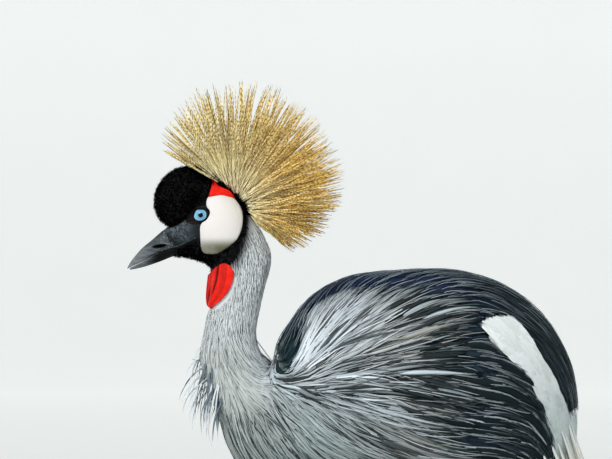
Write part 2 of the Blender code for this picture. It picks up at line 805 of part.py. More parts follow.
def make_foot(side, foot):
    name = SIDE_NAMES[side]
    hub = tube(
        "foot_" + name,
        [(foot.x, -side * foot.y, foot.z - GAP / MM / 2), (foot.x, -side * foot.y, 8), (foot.x, -side * foot.y, -3)],
        (9.0, 11, 10),
        10,
    )
    toes = []
    for toe in TOES:
        a = math.radians(toe["turn_deg"])
        way = Vector((-math.cos(a), side * math.sin(a), 0))
        start = Vector((foot.x, -side * foot.y, 0))
        r, long = toe["radius"], toe["length"]
        high = r * 0.8 - FLOOR_FLAT
        places = ((0, 7.5, 1.2), (0.28, r - FLOOR_FLAT, 1.0), (0.4, r - FLOOR_FLAT, 1.12), (0.62, r - FLOOR_FLAT, 0.9))
        places += ((0.74, r - FLOOR_FLAT, 1.02), (0.92, high, 0.86), (1.0, high, 0.8))
        points = [tuple(start + way * long * s + Vector((0, 0, h))) for s, h, _ in places]
        toes.append(tube("toe", points, [r * f for _, _, f in places], 7))
        tip = start + way * (long + GAP / MM)
        claw = [
            tip + Vector((0, 0, high)),
            tip + way * CLAW_LENGTH * 0.45 + Vector((0, 0, high)),
            tip + way * CLAW_LENGTH * 0.8 + Vector((0, 0, high - 0.8)),
            tip + way * CLAW_LENGTH + Vector((0, 0, 1.2)),
        ]
        nail = tube(f"claw_{name}_{toe['name']}", claw, [r * f for f in (0.62, 0.48, 0.26, 0.08)], 6)
        finish(nail, "claw_black")
    fuse(hub, toes)
    bpy.ops.mesh.primitive_cube_add(size=1)
    floor = bpy.context.object
    floor.data.transform(Matrix.Translation((0, 0, -0.05)) @ Matrix.Diagonal((1, 1, 0.1, 1)))
    finish(carve(hub, [floor]), "leg_black")


def main():
    clear_scene()
    make_bill()
    make_head()
    make_face()
    make_crest()
    make_wattle()
    make_neck()
    make_torso()
    make_tail()
    for side in (LEFT, RIGHT):
        make_wing(side)
        make_leg(side)


main()
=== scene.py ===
import math

import bpy
import numpy as np
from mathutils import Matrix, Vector
from mathutils.bvhtree import BVHTree
from mathutils.kdtree import KDTree


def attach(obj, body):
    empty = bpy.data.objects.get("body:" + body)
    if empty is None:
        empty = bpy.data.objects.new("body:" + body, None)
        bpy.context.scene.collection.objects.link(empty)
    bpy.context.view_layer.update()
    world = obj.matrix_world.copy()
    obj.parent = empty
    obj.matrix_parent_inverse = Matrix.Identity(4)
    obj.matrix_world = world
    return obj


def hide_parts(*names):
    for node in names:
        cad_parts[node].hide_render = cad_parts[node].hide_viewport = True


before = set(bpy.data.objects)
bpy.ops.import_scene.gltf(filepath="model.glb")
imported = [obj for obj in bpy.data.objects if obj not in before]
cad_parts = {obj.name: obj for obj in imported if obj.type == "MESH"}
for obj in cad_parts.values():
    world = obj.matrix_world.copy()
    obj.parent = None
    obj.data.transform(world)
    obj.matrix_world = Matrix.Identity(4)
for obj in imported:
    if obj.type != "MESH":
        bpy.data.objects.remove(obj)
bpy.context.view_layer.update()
mm = 0.001
left, right = 1, -1
sideNames = {left: "left", right: "right"}
# the photograph: its middle and the frame's origin in pixels, and millimetres of the bird to a pixel
midX, midY, originX, originY, pixelSize = 306, 229.5, 389, 878, 1.06
rumpAxis = np.array([0.16, 0, -0.987])
mergeGap = 0.00001
print("frame loaded,", len(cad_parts), "nodes")


# places and shapes of the bird, the same named sizes as in the solids

# front (x, z), back (x, z), side (x, z) and half width of each ring, in millimetres
bodyRows = mm * np.array([
    (-191, 647, -140, 695, -163, 673, 22),
    (-191, 621, -125, 659, -157, 642, 24),
    (-193, 597, -134, 617, -163, 607, 25),
    (-197, 576, -141, 578, -169, 577, 26),
    (-201, 555, -135, 555, -166, 552, 31),
    (-197, 538, -123, 543, -158, 532, 38),
    (-193, 527, -122, 551, -145, 515, 52),
    (-190, 516, -119, 568, -134, 502, 66),
    (-186, 505, -106, 588, -120, 492, 78),
    (-180, 488, -83, 616, -101, 485, 89),
    (-171, 459, -43, 637, -71, 488, 98),
    (-152, 428, 12, 644, -33, 494, 102),
    (-116, 401, 70, 644, 12, 498, 102),
    (-67, 382, 123, 628, 56, 496, 99),
    (-12, 372, 165, 595, 99, 485, 92),
    (43, 373, 191, 549, 135, 471, 79),
    (94, 382, 199, 505, 160, 452, 61),
    (134, 394, 198, 464, 176, 432, 40),
    (160, 407, 194, 432, 183, 420, 21),
])
headRows = mm * np.array([
    (-228.5, 659, -236.5, 689, -232.5, 674, 10),
    (-219, 658, -222, 712, -219, 682, 15.5),
    (-209, 656, -207, 740, -206, 692, 20),
    (-201, 653.5, -191, 746, -194, 694, 23),
    (-195.5, 651, -173, 736, -180, 690, 24.5),
    (-192.6, 648.8, -155, 718, -170, 683, 24),
    (-191, 647, -140, 695, -163, 673, 22),
])
outlines = {  # closed lines in the photograph's pixels, as seen from the bird's left
    "bareFace": [(158, 231), (166.4, 227.5), (175.4, 225.6), (182.2, 221.9), (186.7, 217.3), (191, 213),
                 (195, 208.5), (200, 205.5), (206, 205.5), (210, 209), (210, 214), (207, 220), (202, 226),
                 (201, 237.8), (196.5, 239.9), (185.5, 244.9), (175, 248.6), (165, 251.9), (156, 255),
                 (150, 240)],
    "cheek": [(209.3, 196.9), (215.2, 195.8), (221.7, 195), (228.1, 196.4), (234, 198.5), (238.9, 204.5),
              (241.9, 210.9), (243, 219.5), (241.6, 229.2), (237.3, 238.9), (229.2, 246.4), (220.6, 251.8),
              (215.2, 253.8), (206.6, 253.4), (202.8, 251.3), (201.2, 246.4), (200.8, 236.7), (200.7, 227.1),
              (202.8, 222.8), (206.6, 220.1), (209.6, 215.2), (209.6, 210.9), (207.4, 207.1), (206.6, 203.4),
              (207.4, 199.1)],
    "brow": [(212.5, 179.8), (215.2, 181.8), (217.9, 185.6), (222.7, 188), (229.2, 190.8), (233, 194.6),
             (234.6, 198.6), (228.1, 197.0), (221.7, 195.6), (215.2, 196.4), (209.1, 197.4), (210, 193),
             (211.4, 187.5), (212, 183)],
    "hood": [(120, 120), (243, 120), (246, 192), (248.5, 210), (248, 232), (244, 250), (238, 263), (226, 268),
             (212, 272), (200, 276), (120, 270)],
    "whiteBand": [(479.5, 322), (487.8, 318), (497.4, 315.4), (507, 314.5), (516, 318.5), (521, 324.5),
                  (528, 334), (535.6, 347), (543.6, 362), (551.5, 376.5), (561.5, 391), (569.5, 405.5),
                  (571, 414), (577, 413), (600, 420), (605, 470), (600, 560), (545, 560), (556, 500),
                  (557.5, 455), (555.5, 439.4), (549.6, 419.4), (543.6, 403.5), (535.6, 385.6),
                  (527.6, 373.6), (519.7, 364.7), (509.7, 357.7), (499.8, 348.7), (493.8, 339.8),
                  (485.8, 330.8)],
    "wattle": [(218.4, 265.2), (222.7, 268.5), (227.3, 265.2), (234.1, 268.5), (235.4, 276.1), (232, 287),
               (226.6, 296.5), (218.4, 304.6), (210, 307), (204, 302), (204, 292.4), (206, 282.9),
               (211.8, 274.7), (215.5, 268.5)],
    "silver": [(240, 330), (262, 352), (272, 364), (279, 369), (286, 373), (292, 368), (296, 356), (295, 340),
               (294, 324), (300, 313), (311, 306), (322, 301), (334, 295), (347, 290), (364, 287), (383, 285),
               (406, 285), (430, 288), (452, 293), (470, 301), (482, 311), (476, 321), (480, 335), (468, 345),
               (470, 360), (478, 375), (488, 390), (490, 402), (474, 412), (462, 425), (468, 440), (480, 458),
               (505, 490), (510, 620), (120, 620), (120, 300), (200, 300)],
    "wedge": [(455, 255), (500, 290), (512, 316), (528, 334), (541, 357), (551.6, 377), (562, 392),
              (569.5, 405.5), (572, 415), (585, 400), (590, 340), (540, 260)],
}
flankLines, flankNearer = ("whiteBand", "silver", "wedge"), 0.982
eyeSpot = {"x": 201.7, "z": 215.4, "wide": 7.5, "high": 5.2, "tilt": 20, "radius": 10,
           "sunk": 7.8, "bare": 9.5, "cornea": (7.6, 10, 0.5), "lidGap": (0.35, 1.2)}


def spot(px, py, nearer=1.0):
    # a pixel of the photograph as x and z in the frame; what stands nearer the camera looks larger
    px, py = midX + (px - midX) * nearer, midY + (py - midY) * nearer
    return np.array([(px - originX) * pixelSize * mm, (originY - py) * pixelSize * mm])


def sided(name, side):
    return name + "_" + sideNames[side]


def unit(v):
    return v / np.maximum(np.linalg.norm(v, axis=-1, keepdims=True), 1e-12)


def ease(value, low, high):
    t = np.clip((value - low) / (high - low), 0, 1)
    return t * t * (3 - 2 * t)


def blendTo(first, second, share):
    return first + (second - first) * share


def rowAt(rows, u):
    # a smooth line through the rows, its end rows held
    last = len(rows) - 1
    u = np.clip(u, 0, last)
    i = np.minimum(u.astype(int), last - 1)
    t = (u - i)[..., None]
    before, here = rows[np.maximum(i - 1, 0)], rows[i]
    there, after = rows[i + 1], rows[np.minimum(i + 2, last)]
    return (
        (2 * t**3 - 3 * t**2 + 1) * here
        + (t**3 - 2 * t**2 + t) * (there - before) / 2
        + (3 * t**2 - 2 * t**3) * there
        + (t**3 - t**2) * (after - here) / 2
    )


def skinPoint(rows, u, a):
    # a place on a form: u along it, a round it, from the back line over the bird's left side
    u, a = np.broadcast_arrays(np.asarray(u, float), np.asarray(a, float))
    frontX, frontZ, backX, backZ, sideX, sideZ, width = np.moveaxis(rowAt(rows, u), -1, 0)
    middleX, middleZ = (frontX + backX) / 2, (frontZ + backZ) / 2
    up, out = np.cos(a), np.sin(a)
    return np.stack([
        middleX + up * (backX - frontX) / 2 + out**2 * (sideX - middleX),
        -width * out,
        middleZ + up * (backZ - frontZ) / 2 + out**2 * (sideZ - middleZ),
    ], -1)


def skinFrame(rows, u, a):
    # places, ways along and round, and outward normals
    step = 0.01
    low = np.clip(u - step, 0, len(rows) - 1 - 2 * step)
    along = (skinPoint(rows, low + 2 * step, a) - skinPoint(rows, low, a)) / (2 * step)
    around = (skinPoint(rows, u, a + step) - skinPoint(rows, u, a - step)) / (2 * step)
    return skinPoint(rows, u, a), along, around, unit(np.cross(around, along))


def insideBy(place, outline):
    # how far inside a closed outline each place lies, in metres, and less than nought outside
    corners = np.array([spot(*p, flankNearer if outline in flankLines else 1) for p in outlines[outline]])
    edge = np.roll(corners, -1, 0) - corners
    here = place[..., [0, 2]][..., None, :]
    t = np.clip(((here - corners) * edge).sum(-1) / (edge**2).sum(-1), 0, 1)
    gap = np.linalg.norm(here - corners - t[..., None] * edge, axis=-1).min(-1)
    above = (corners[:, 1] > here[..., 1]) != (np.roll(corners[:, 1], -1) > here[..., 1])
    rise = np.where(edge[:, 1] == 0, 1e-12, edge[:, 1])
    crossed = here[..., 0] < edge[:, 0] * (here[..., 1] - corners[:, 1]) / rise + corners[:, 0]
    return np.where((above & crossed).sum(-1) % 2 == 1, gap, -gap)


def fullTurn(count):
    # angles once round, the last again at the first
    turn = np.linspace(0, math.tau, count + 1)
    turn[-1] = 0
    return turn


def closedLine(points, count):
    # a smooth closed line through points
    points = np.array(points, float)
    padded = np.vstack([points[-2:], points, points[:3]])
    return rowAt(padded, np.linspace(2, 2 + len(points), count, endpoint=False))


# modelling helpers

def clearSelection():
    if bpy.context.object and bpy.context.object.mode != "OBJECT":
        bpy.ops.object.mode_set(mode="OBJECT")
    bpy.ops.object.select_all(action="DESELECT")


def pick(piece):
    clearSelection()
    piece.select_set(True)
    bpy.context.view_layer.objects.active = piece


def closeUp(piece):
    # merges meeting edges, closes poles and turns the faces outwards
    pick(piece)
    bpy.ops.object.mode_set(mode="EDIT")
    bpy.ops.mesh.select_all(action="SELECT")
    bpy.ops.mesh.remove_doubles(threshold=mergeGap)
    bpy.ops.mesh.dissolve_degenerate(threshold=0.000001)
    bpy.ops.mesh.select_all(action="SELECT")
    bpy.ops.mesh.normals_make_consistent(inside=False)
    bpy.ops.object.mode_set(mode="OBJECT")
    bpy.ops.object.shade_smooth()
    return piece


def wrapSheet(name, points):
    # a grid laid over rows and columns of points
    rows, columns = points.shape[:2]
    clearSelection()
    bpy.ops.mesh.primitive_grid_add(x_subdivisions=columns - 1, y_subdivisions=rows - 1, size=1)
    piece = bpy.context.object
    piece.name = name
    piece.data.vertices.foreach_set("co", np.ascontiguousarray(points, float).ravel())
    piece.data.update()
    return closeUp(piece)


def finishModifier(piece, kind, **settings):
    pick(piece)
    change = piece.modifiers.new("finish", kind)
    for name, value in settings.items():
        setattr(change, name, value)
    bpy.ops.object.modifier_apply(modifier=change.name)
    return piece


def joinSolids(piece, others):
    # one closed surface from overlapping ones
    group = bpy.data.collections.new("joined")
    bpy.context.scene.collection.children.link(group)
    for other in others:
        group.objects.link(other)
    finishModifier(piece, "BOOLEAN", operand_type="COLLECTION", collection=group, operation="UNION",
                   solver="MANIFOLD")
    for other in others:
        bpy.data.objects.remove(other)
    bpy.data.collections.remove(group)
    return piece


def corners(piece):
    co = np.empty(len(piece.data.vertices) * 3)
    piece.data.vertices.foreach_get("co", co)
    return co.reshape(-1, 3)


def paintPoints(piece, name, colours):
    layer = piece.data.attributes.new(name, "FLOAT_COLOR", "POINT")
    rgba = np.ones((len(colours), 4), np.float32)
    rgba[:, :3] = colours
    layer.data.foreach_set("color", rgba.ravel())


def takesFinish(piece, made):
    piece.data.materials.clear()
    piece.data.materials.append(made)
    return piece


def settle(piece, made, slot, *nodes):
    takesFinish(piece, made)
    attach(piece, "root")
    if nodes:
        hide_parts(*nodes)
    return piece


# finishes

class Wire:
    # a shader socket: sums on wires add their own Math nodes
    def __init__(self, tree, socket=None):
        self.tree = tree
        self.socket = socket

    def add(self, kind, settings=None, sockets=None, out=0):
        node = self.tree.nodes.new(kind)
        for name, value in (settings or {}).items():
            if name == "stops":
                ramp = node.color_ramp
                while len(ramp.elements) < len(value):
                    ramp.elements.new(0.5)
                for element, (place, colour) in zip(ramp.elements, value):
                    element.position = place
                    element.color = (*colour, 1)
            else:
                setattr(node, name, value)
        for name, value in (sockets or {}).items():
            if isinstance(value, Wire):
                self.tree.links.new(value.socket, node.inputs[name])
            else:
                node.inputs[name].default_value = value
        return Wire(self.tree, node.outputs[out])

    def maths(self, operation, first, second=0.0, clamp=False):
        return self.add("ShaderNodeMath", {"operation": operation, "use_clamp": clamp}, {0: first, 1: second})

    def __add__(self, other):
        return self.maths("ADD", self, other)

    __radd__ = __add__

    def __sub__(self, other):
        return self.maths("SUBTRACT", self, other)

    def __rsub__(self, other):
        return self.maths("SUBTRACT", other, self)

    def __mul__(self, other):
        return self.maths("MULTIPLY", self, other)

    __rmul__ = __mul__

    def __truediv__(self, other):
        return self.maths("DIVIDE", self, other)

    def __pow__(self, other):
        return self.maths("POWER", self, other)

    def step(self, low, high):
        # nought below low, one above high, eased between
        return self.add("ShaderNodeMapRange", {"interpolation_type": "SMOOTHSTEP"},
                        {"Value": self, "From Min": low, "From Max": high})

    def mix(self, first, second, mode="MIX"):
        # two colours, the wire their share
        asColour = [c if isinstance(c, Wire) else (*c, 1) for c in (first, second)]
        return self.add("ShaderNodeMix", {"data_type": "RGBA", "blend_type": mode},
                        {0: self, 6: asColour[0], 7: asColour[1]}, out=2)


def newFinish(name, colour, roughness, draw=None, **fixed):
    # a shader with its steady values; draw(wire, place) gives what varies, by socket name
    made = bpy.data.materials.new(name)
    made.use_nodes = True
    tree = made.node_tree
    shader = tree.nodes["Principled BSDF"]
    shader.inputs["Base Color"].default_value = (*colour, 1)
    shader.inputs["Roughness"].default_value = roughness
    for socket, value in fixed.items():
        shader.inputs[socket.replace("_", " ")].default_value = value
    if draw:
        wire = Wire(tree)
        place = wire.add("ShaderNodeTexCoord", out=3)
        for socket, value in draw(wire, place).items():
            tree.links.new(value.socket, shader.inputs[socket])
    return made


def noise(wire, place, scale, detail=4, roughness=0.6, stretch=None):
    if stretch:
        place = wire.add("ShaderNodeMapping", {}, {"Vector": place, "Scale": stretch})
    return wire.add("ShaderNodeTexNoise", {}, {"Vector": place, "Scale": scale, "Detail": detail,
                                               "Roughness": roughness})


def bump(wire, height, distance):
    return wire.add("ShaderNodeBump", {}, {"Height": height, "Distance": distance, "Strength": 1.0})


def splitPlace(wire, place):
    return [wire.add("ShaderNodeSeparateXYZ", {}, {0: place}, out=k) for k in range(3)]


def attribute(wire, name, out=0):
    # a value painted on the points: its colour, or with out 1 its vector and with 2 its strength
    return wire.add("ShaderNodeAttribute", {"attribute_name": name}, out=out)


def vaneParts(wire):
    # how far along and across its feather a point lies, and the feather's own chance
    return splitPlace(wire, attribute(wire, "vane", 1))


def featherLook(outward, lines, depth, margin=(0.74, 0.94)):
    def draw(wire, place):
        centre = attribute(wire, "centre")
        edging = attribute(wire, "edging")
        along, across, chance = vaneParts(wire)
        away = wire.maths("ABSOLUTE", across)
        # barbs run out and forward from the shaft
        comb = wire.maths("SINE", (away * outward - along * lines + chance * 30.0) * 6.283)
        fleck = noise(wire, place, 700, 2)
        rim = (away + (fleck - 0.5) * 0.3).step(*margin)
        colour = rim.mix(centre, edging)
        shade = 0.94 + comb * 0.1 + (fleck - 0.5) * 0.3
        grey = wire.add("ShaderNodeCombineXYZ", {}, {0: shade, 1: shade, 2: shade})
        colour = wire.add("ShaderNodeMix", {"data_type": "RGBA", "blend_type": "MULTIPLY"},
                          {0: 1.0, 6: colour, 7: grey}, out=2)
        return {"Base Color": colour, "Normal": bump(wire, comb, depth)}
    return draw


def skinLook(wire, place):
    marks = attribute(wire, "centre")
    bare = attribute(wire, "bare", 2)
    coarse = noise(wire, place, 260, 5)
    fine = noise(wire, place, 1300, 3)
    # pale flecks on the bare slate of the face
    x, y, z = splitPlace(wire, place)
    nearBill = (x * 0.94 - z * 0.34).step(-0.421, -0.448)
    dots = noise(wire, place, 560, 3).step(0.52, 0.64)
    flecks = (coarse.step(0.42, 0.66) * 0.4 + dots * 0.4) * bare * nearBill
    colour = flecks.mix(marks, (0.20, 0.25, 0.28))
    # dark again along the mouth and before the cheek
    shade = ((z + x * 0.5).step(0.572, 0.562) * 0.75 + x.step(-0.212, -0.203) * 0.6) * bare
    colour = shade.mix(colour, (0.004, 0.006, 0.007))
    pores = wire.add("ShaderNodeTexVoronoi", {}, {"Vector": place, "Scale": 900.0})
    height = coarse * 0.8 + fine * 0.3 + pores * 0.5
    folds = noise(wire, place, 130, 2) * 2.2
    return {"Base Color": colour, "Normal": bump(wire, (height + folds) * bare, 0.0009),
            "Roughness": 0.85 - bare * 0.3, "Metallic": shade.step(0.2, 1.2)}


def velvetLook(wire, place):
    along, across, chance = vaneParts(wire)
    tip = (along * 0.7 + chance * 0.3).step(0.35, 1.0)
    return {"Base Color": tip.mix((0.0004, 0.0004, 0.0005), (0.0018, 0.0019, 0.0024))}


def bristleLook(wire, place):
    along, across, chance = vaneParts(wire)
    centre = attribute(wire, "centre")
    edging = attribute(wire, "edging")
    # each bristle is a twisted ribbon, one side pale and the other brown
    turn = wire.maths("SINE", (along * 21.0 + chance * 20.0 + across * 0.15) * 6.283)
    brown = (turn + (noise(wire, place, 300, 2) - 0.5) * 0.4).step(0.45, 0.95)
    brown = (brown + chance.step(0.86, 0.88) * 0.7) * along.step(0.25, 0.6)
    dark = (along + (chance - 0.5) * 0.05).step(0.95, 0.99)
    return {"Base Color": dark.mix(brown.step(0.0, 1.0).mix(centre, edging), (0.06, 0.045, 0.03))}


def cheekLook(wire, place):
    x, y, z = splitPlace(wire, place)
    # painted shade: the lower edge of the cheek, where it turns under, darkens to olive grey
    low = z.step(0.6835, 0.6655)
    behind = (x * 0.7 + z * 0.3).step(0.078, 0.052)
    soft = noise(wire, place, 60, 4)
    pores = noise(wire, place, 1500, 3)
    veins = noise(wire, place, 240, 6, 0.65).step(0.55, 0.75)
    colour = (low * (0.8 + soft * 0.4)).step(0.0, 1.0).mix((0.74, 0.72, 0.705), (0.10, 0.105, 0.05))
    colour = (behind * 0.35).mix(colour, (0.60, 0.59, 0.56))
    colour = (veins * 0.12).mix(colour, (0.70, 0.60, 0.58))
    colour = (soft.step(0.45, 0.8) * 0.2).mix(colour, (0.78, 0.75, 0.72))
    return {"Base Color": colour, "Normal": bump(wire, pores * 0.6 + soft, 0.0006),
            "Roughness": 0.42 + pores * 0.2}


def redLook(wire, place):
    grain = noise(wire, place, 700, 4)
    soft = noise(wire, place, 110, 3)
    beads = wire.add("ShaderNodeTexVoronoi", {}, {"Vector": place, "Scale": 900.0})
    crease = attribute(wire, "crease", 2)
    colour = soft.step(0.3, 0.75).mix((0.70, 0.008, 0.004), (0.88, 0.020, 0.008))
    colour = (grain.step(0.55, 0.8) * 0.35).mix(colour, (0.42, 0.005, 0.004))
    # painted shade in the creases and fold hollows of the wattle
    colour = crease.mix(colour, (0.07, 0.002, 0.002))
    return {"Base Color": colour, "Normal": bump(wire, grain + beads * 0.8, 0.0006),
            "Roughness": 0.36 + grain * 0.25}


nostril = {"x": -0.2427, "z": 0.6699, "rise": math.radians(8)}


def slotPlace(x, z):
    # how far a place lies along the nostril slot and above it
    dx, dz = x - nostril["x"], z - nostril["z"]
    rise = nostril["rise"]
    return dx * math.cos(rise) + dz * math.sin(rise), dz * math.cos(rise) - dx * math.sin(rise)


def billLook(wire, place):
    x, y, z = splitPlace(wire, place)
    streaks = noise(wire, place, 220, 5, 0.6, (0.35, 1.4, 1.4))
    fine = noise(wire, place, 1500, 3)
    tip = x.step(-0.243, -0.276)
    colour = streaks.step(0.35, 0.75).mix((0.004, 0.009, 0.011), (0.075, 0.105, 0.125))
    colour = (tip * (0.2 + streaks * 0.5)).mix(colour, (0.26, 0.29, 0.30))
    gape = z - x * 0.3
    base = x.step(-0.252, -0.236) * gape.step(0.7365, 0.7385) * x.step(-0.222, -0.228)
    scurf = noise(wire, place, 520, 4).step(0.5, 0.66) * base
    colour = (scurf * 0.7).mix(colour, (0.22, 0.24, 0.27))
    # painted shade: below the gape the rear of the bill goes nearly black
    shadeBelowGape = gape.step(0.7372, 0.7356) * x.step(-0.262, -0.244)
    colour = shadeBelowGape.mix(colour, (0.003, 0.004, 0.004))
    # a painted highlight along the culmen, where it catches more light; the nostril is dark inside
    culmenHighlight = (z + x * 0.98).step(0.4335, 0.4395) * tip.step(0.0, 0.3)
    colour = (culmenHighlight * 0.3).mix(colour, (0.36, 0.38, 0.40))
    alongSlot, acrossSlot = slotPlace(x, z)
    slot = (alongSlot / 0.0088) ** 2.0 + wire.maths("ABSOLUTE", acrossSlot) / 0.0019
    # painted shade: the nostril's hollow is painted nearly black
    hollow = slot.step(1.15, 0.85)
    colour = hollow.mix(colour, (0.001, 0.001, 0.001))
    rim = slot.step(1.15, 1.4) * slot.step(2.4, 1.5)
    rim = rim * acrossSlot.step(0.0004, 0.0012) * alongSlot.step(-0.002, 0.003)
    colour = (rim * 0.4).mix(colour, (0.30, 0.27, 0.25))
    height = streaks * 0.5 + fine * 0.35 + scurf * 0.6
    return {"Base Color": colour,
            "Roughness": 0.3 + streaks * 0.25 + base * 0.15 + hollow * 0.4 + shadeBelowGape * 0.2,
            "Metallic": (hollow + shadeBelowGape * 0.7).step(0.0, 1.0),
            "Normal": bump(wire, height, 0.0006)}


def eyeLook(wire, place):
    x, y, z = splitPlace(wire, place)
    centreX, centreZ = spot(eyeSpot["x"] - 0.5, eyeSpot["z"] - 0.2)
    dx, dz = x - float(centreX), z - float(centreZ)
    away = wire.maths("SQRT", dx * dx + dz * dz)
    spokes = wire.add("ShaderNodeTexNoise", {}, {
        "Vector": wire.add("ShaderNodeCombineXYZ", {},
                           {0: wire.maths("ARCTAN2", dz, dx) * 2.2, 1: away * 60.0}),
        "Scale": 6.0, "Detail": 4.0})
    colour = away.step(0.0028, 0.0068).mix((0.10, 0.33, 0.56), (0.29, 0.60, 0.79))
    colour = (spokes.step(0.45, 0.75) * 0.45).mix(colour, (0.08, 0.26, 0.46))
    limb = (away + spokes * 0.0006).step(0.0073, 0.0088)
    colour = limb.mix(colour, (0.02, 0.05, 0.08))
    pupil = away.step(0.0028, 0.0023)
    return {"Base Color": pupil.mix(colour, (0.0005, 0.0005, 0.0008)), "Metallic": pupil}


def lidLook(wire, place):
    grain = noise(wire, place, 900, 4)
    x, y, z = splitPlace(wire, place)
    warm = z.step(0.6975, 0.6945) * z.step(0.6885, 0.6905) * x.step(-0.200, -0.204) * grain.step(0.4, 0.6)
    colour = grain.step(0.35, 0.7).mix((0.001, 0.001, 0.0012), (0.006, 0.006, 0.008))
    colour = (warm * 0.22).mix(colour, (0.14, 0.05, 0.04))
    return {"Base Color": colour, "Normal": bump(wire, grain, 0.0005)}


def legLook(wire, place):
    grain = noise(wire, place, 300, 5)
    plates = wire.add("ShaderNodeTexVoronoi", {"feature": "DISTANCE_TO_EDGE"},
                      {"Vector": wire.add("ShaderNodeMapping", {}, {"Vector": place, "Scale": (1, 1, 0.6)}),
                       "Scale": 420.0})
    seams = plates.step(0.0, 0.12)
    colour = grain.step(0.35, 0.7).mix((0.016, 0.016, 0.018), (0.06, 0.062, 0.066))
    colour = (1 - seams).mix(colour, (0.008, 0.008, 0.009))
    return {"Base Color": colour, "Normal": bump(wire, seams + grain * 0.3, 0.0006),
            "Roughness": 0.4 + grain * 0.25}


def clawLook(wire, place):
    grain = noise(wire, place, 500, 3)
    return {"Base Color": grain.step(0.3, 0.8).mix((0.012, 0.011, 0.011), (0.05, 0.046, 0.042)),
            "Normal": bump(wire, grain, 0.0003)}


finishes = {
    "skin": newFinish("featheredSkin", (0.1, 0.1, 0.1), 0.8, skinLook, Specular_IOR_Level=0.18),
    "feather": newFinish("feather", (0.5, 0.5, 0.5), 0.68, featherLook(3.2, 3.0, 0.00002),
                         Specular_IOR_Level=0.08),
    "rimmed": newFinish("rimmedFeather", (0.1, 0.1, 0.1), 0.6, featherLook(6.0, 6.0, 0.00002, (0.64, 0.86)),
                        Specular_IOR_Level=0.06),
    "vane": newFinish("flightFeather", (0.5, 0.5, 0.5), 0.75, featherLook(11.0, 70.0, 0.00004),
                      Specular_IOR_Level=0.0),
    "velvet": newFinish("velvet", (0.002, 0.002, 0.003), 0.95, velvetLook, Specular_IOR_Level=0.0),
    "bristle": newFinish("crownBristle", (0.8, 0.6, 0.3), 0.55, bristleLook, Specular_IOR_Level=0.35),
    "cheek": newFinish("bareWhiteSkin", (0.9, 0.88, 0.86), 0.5, cheekLook, Subsurface_Weight=0.08,
                       Subsurface_Scale=0.003),
    "red": newFinish("bareRedSkin", (0.7, 0.03, 0.02), 0.45, redLook, Specular_IOR_Level=0.12),
    "bill": newFinish("billHorn", (0.04, 0.05, 0.06), 0.4, billLook, Specular_IOR_Level=0.4),
    "eye": newFinish("blueEye", (0.35, 0.62, 0.76), 0.12, eyeLook, Specular_IOR_Level=0.25, Coat_Weight=0.35,
                     Coat_Roughness=0.03),
    "lid": newFinish("eyelid", (0.02, 0.02, 0.02), 0.42, lidLook, Specular_IOR_Level=0.07),
    "leg": newFinish("legScales", (0.05, 0.05, 0.05), 0.5, legLook),
    "claw": newFinish("clawHorn", (0.03, 0.03, 0.03), 0.3, clawLook),
}
print("finishes made")


# markings: the coat's tones over the bird, the same for skin and feathers

tones = {
    "black": (0.003, 0.003, 0.004),
    "bareSlate": (0.014, 0.023, 0.028),
    "neck": (0.70, 0.755, 0.78),
    "neckDark": (0.16, 0.17, 0.18),
    "silver": (0.57, 0.665, 0.72),
    "silverBright": (0.80, 0.87, 0.93),
    "beige": (0.37, 0.375, 0.345),
    "steel": (0.21, 0.285, 0.31),
    "slate": (0.034, 0.052, 0.060),
    "deep": (0.005, 0.011, 0.013),
    "navy": (0.009, 0.020, 0.055),
    "teal": (0.009, 0.028, 0.036),
    "breastLow": (0.22, 0.29, 0.275),
    "white": (0.69, 0.735, 0.73),
    "whiteShade": (0.42, 0.50, 0.49),
    "gold": (0.72, 0.55, 0.24),
    "chestnut": (0.20, 0.055, 0.025),
    "quill": (0.012, 0.012, 0.015),
    "cream": (1.0, 0.82, 0.33),
    "bristleGold": (1.0, 0.60, 0.07),
    "bristleBrown": (0.22, 0.10, 0.02),
}
tones = {name: np.array(tone) for name, tone in tones.items()}


def toneMix(first, second, share):
    return blendTo(tones[first] if isinstance(first, str) else first,
                   tones[second] if isinstance(second, str) else second, np.asarray(share)[..., None])


def photoX(x):
    return midX + (x / (pixelSize * mm) + (originX - midX)) / flankNearer


def photoY(z):
    return midY + (originY - midY - z / (pixelSize * mm)) / flankNearer


def inPhoto(place):
    return photoX(place[..., 0]), photoY(place[..., 2])


def hoodShare(place):
    # how black the hood is: full on the head, fading down the neck
    return ease(insideBy(place, "hood"), -7 * mm, 3 * mm)


def silverShare(place):
    # how far the pale long plumes cover the dark mantle at a place
    return ease(insideBy(place, "silver"), -4 * mm, 20 * mm)


def mantleTone(place):
    # navy over the shoulders, teal in the whorl behind the neck, near black by the wing
    px, py = inPhoto(place)
    tone = toneMix("navy", "deep", ease(px, 400, 520) * 0.9)
    tone = toneMix(tone, "teal", ease(py, 318, 340) * (1 - ease(px, 298, 315)))
    return toneMix(tone, "slate", ease(px, 440, 500) * ease(py, 330, 360) * 0.35)


def breastTone(px, py):
    # warm grey in front and cooler towards the wing, darker further down
    front = 1 - ease(px - 0.45 * (py - 345), 222, 262)
    tone = toneMix(tones["silver"] * 0.85, np.array([0.47, 0.50, 0.47]), front * 0.85)
    return toneMix(tone, "breastLow", ease(py, 378, 455) * 0.88)


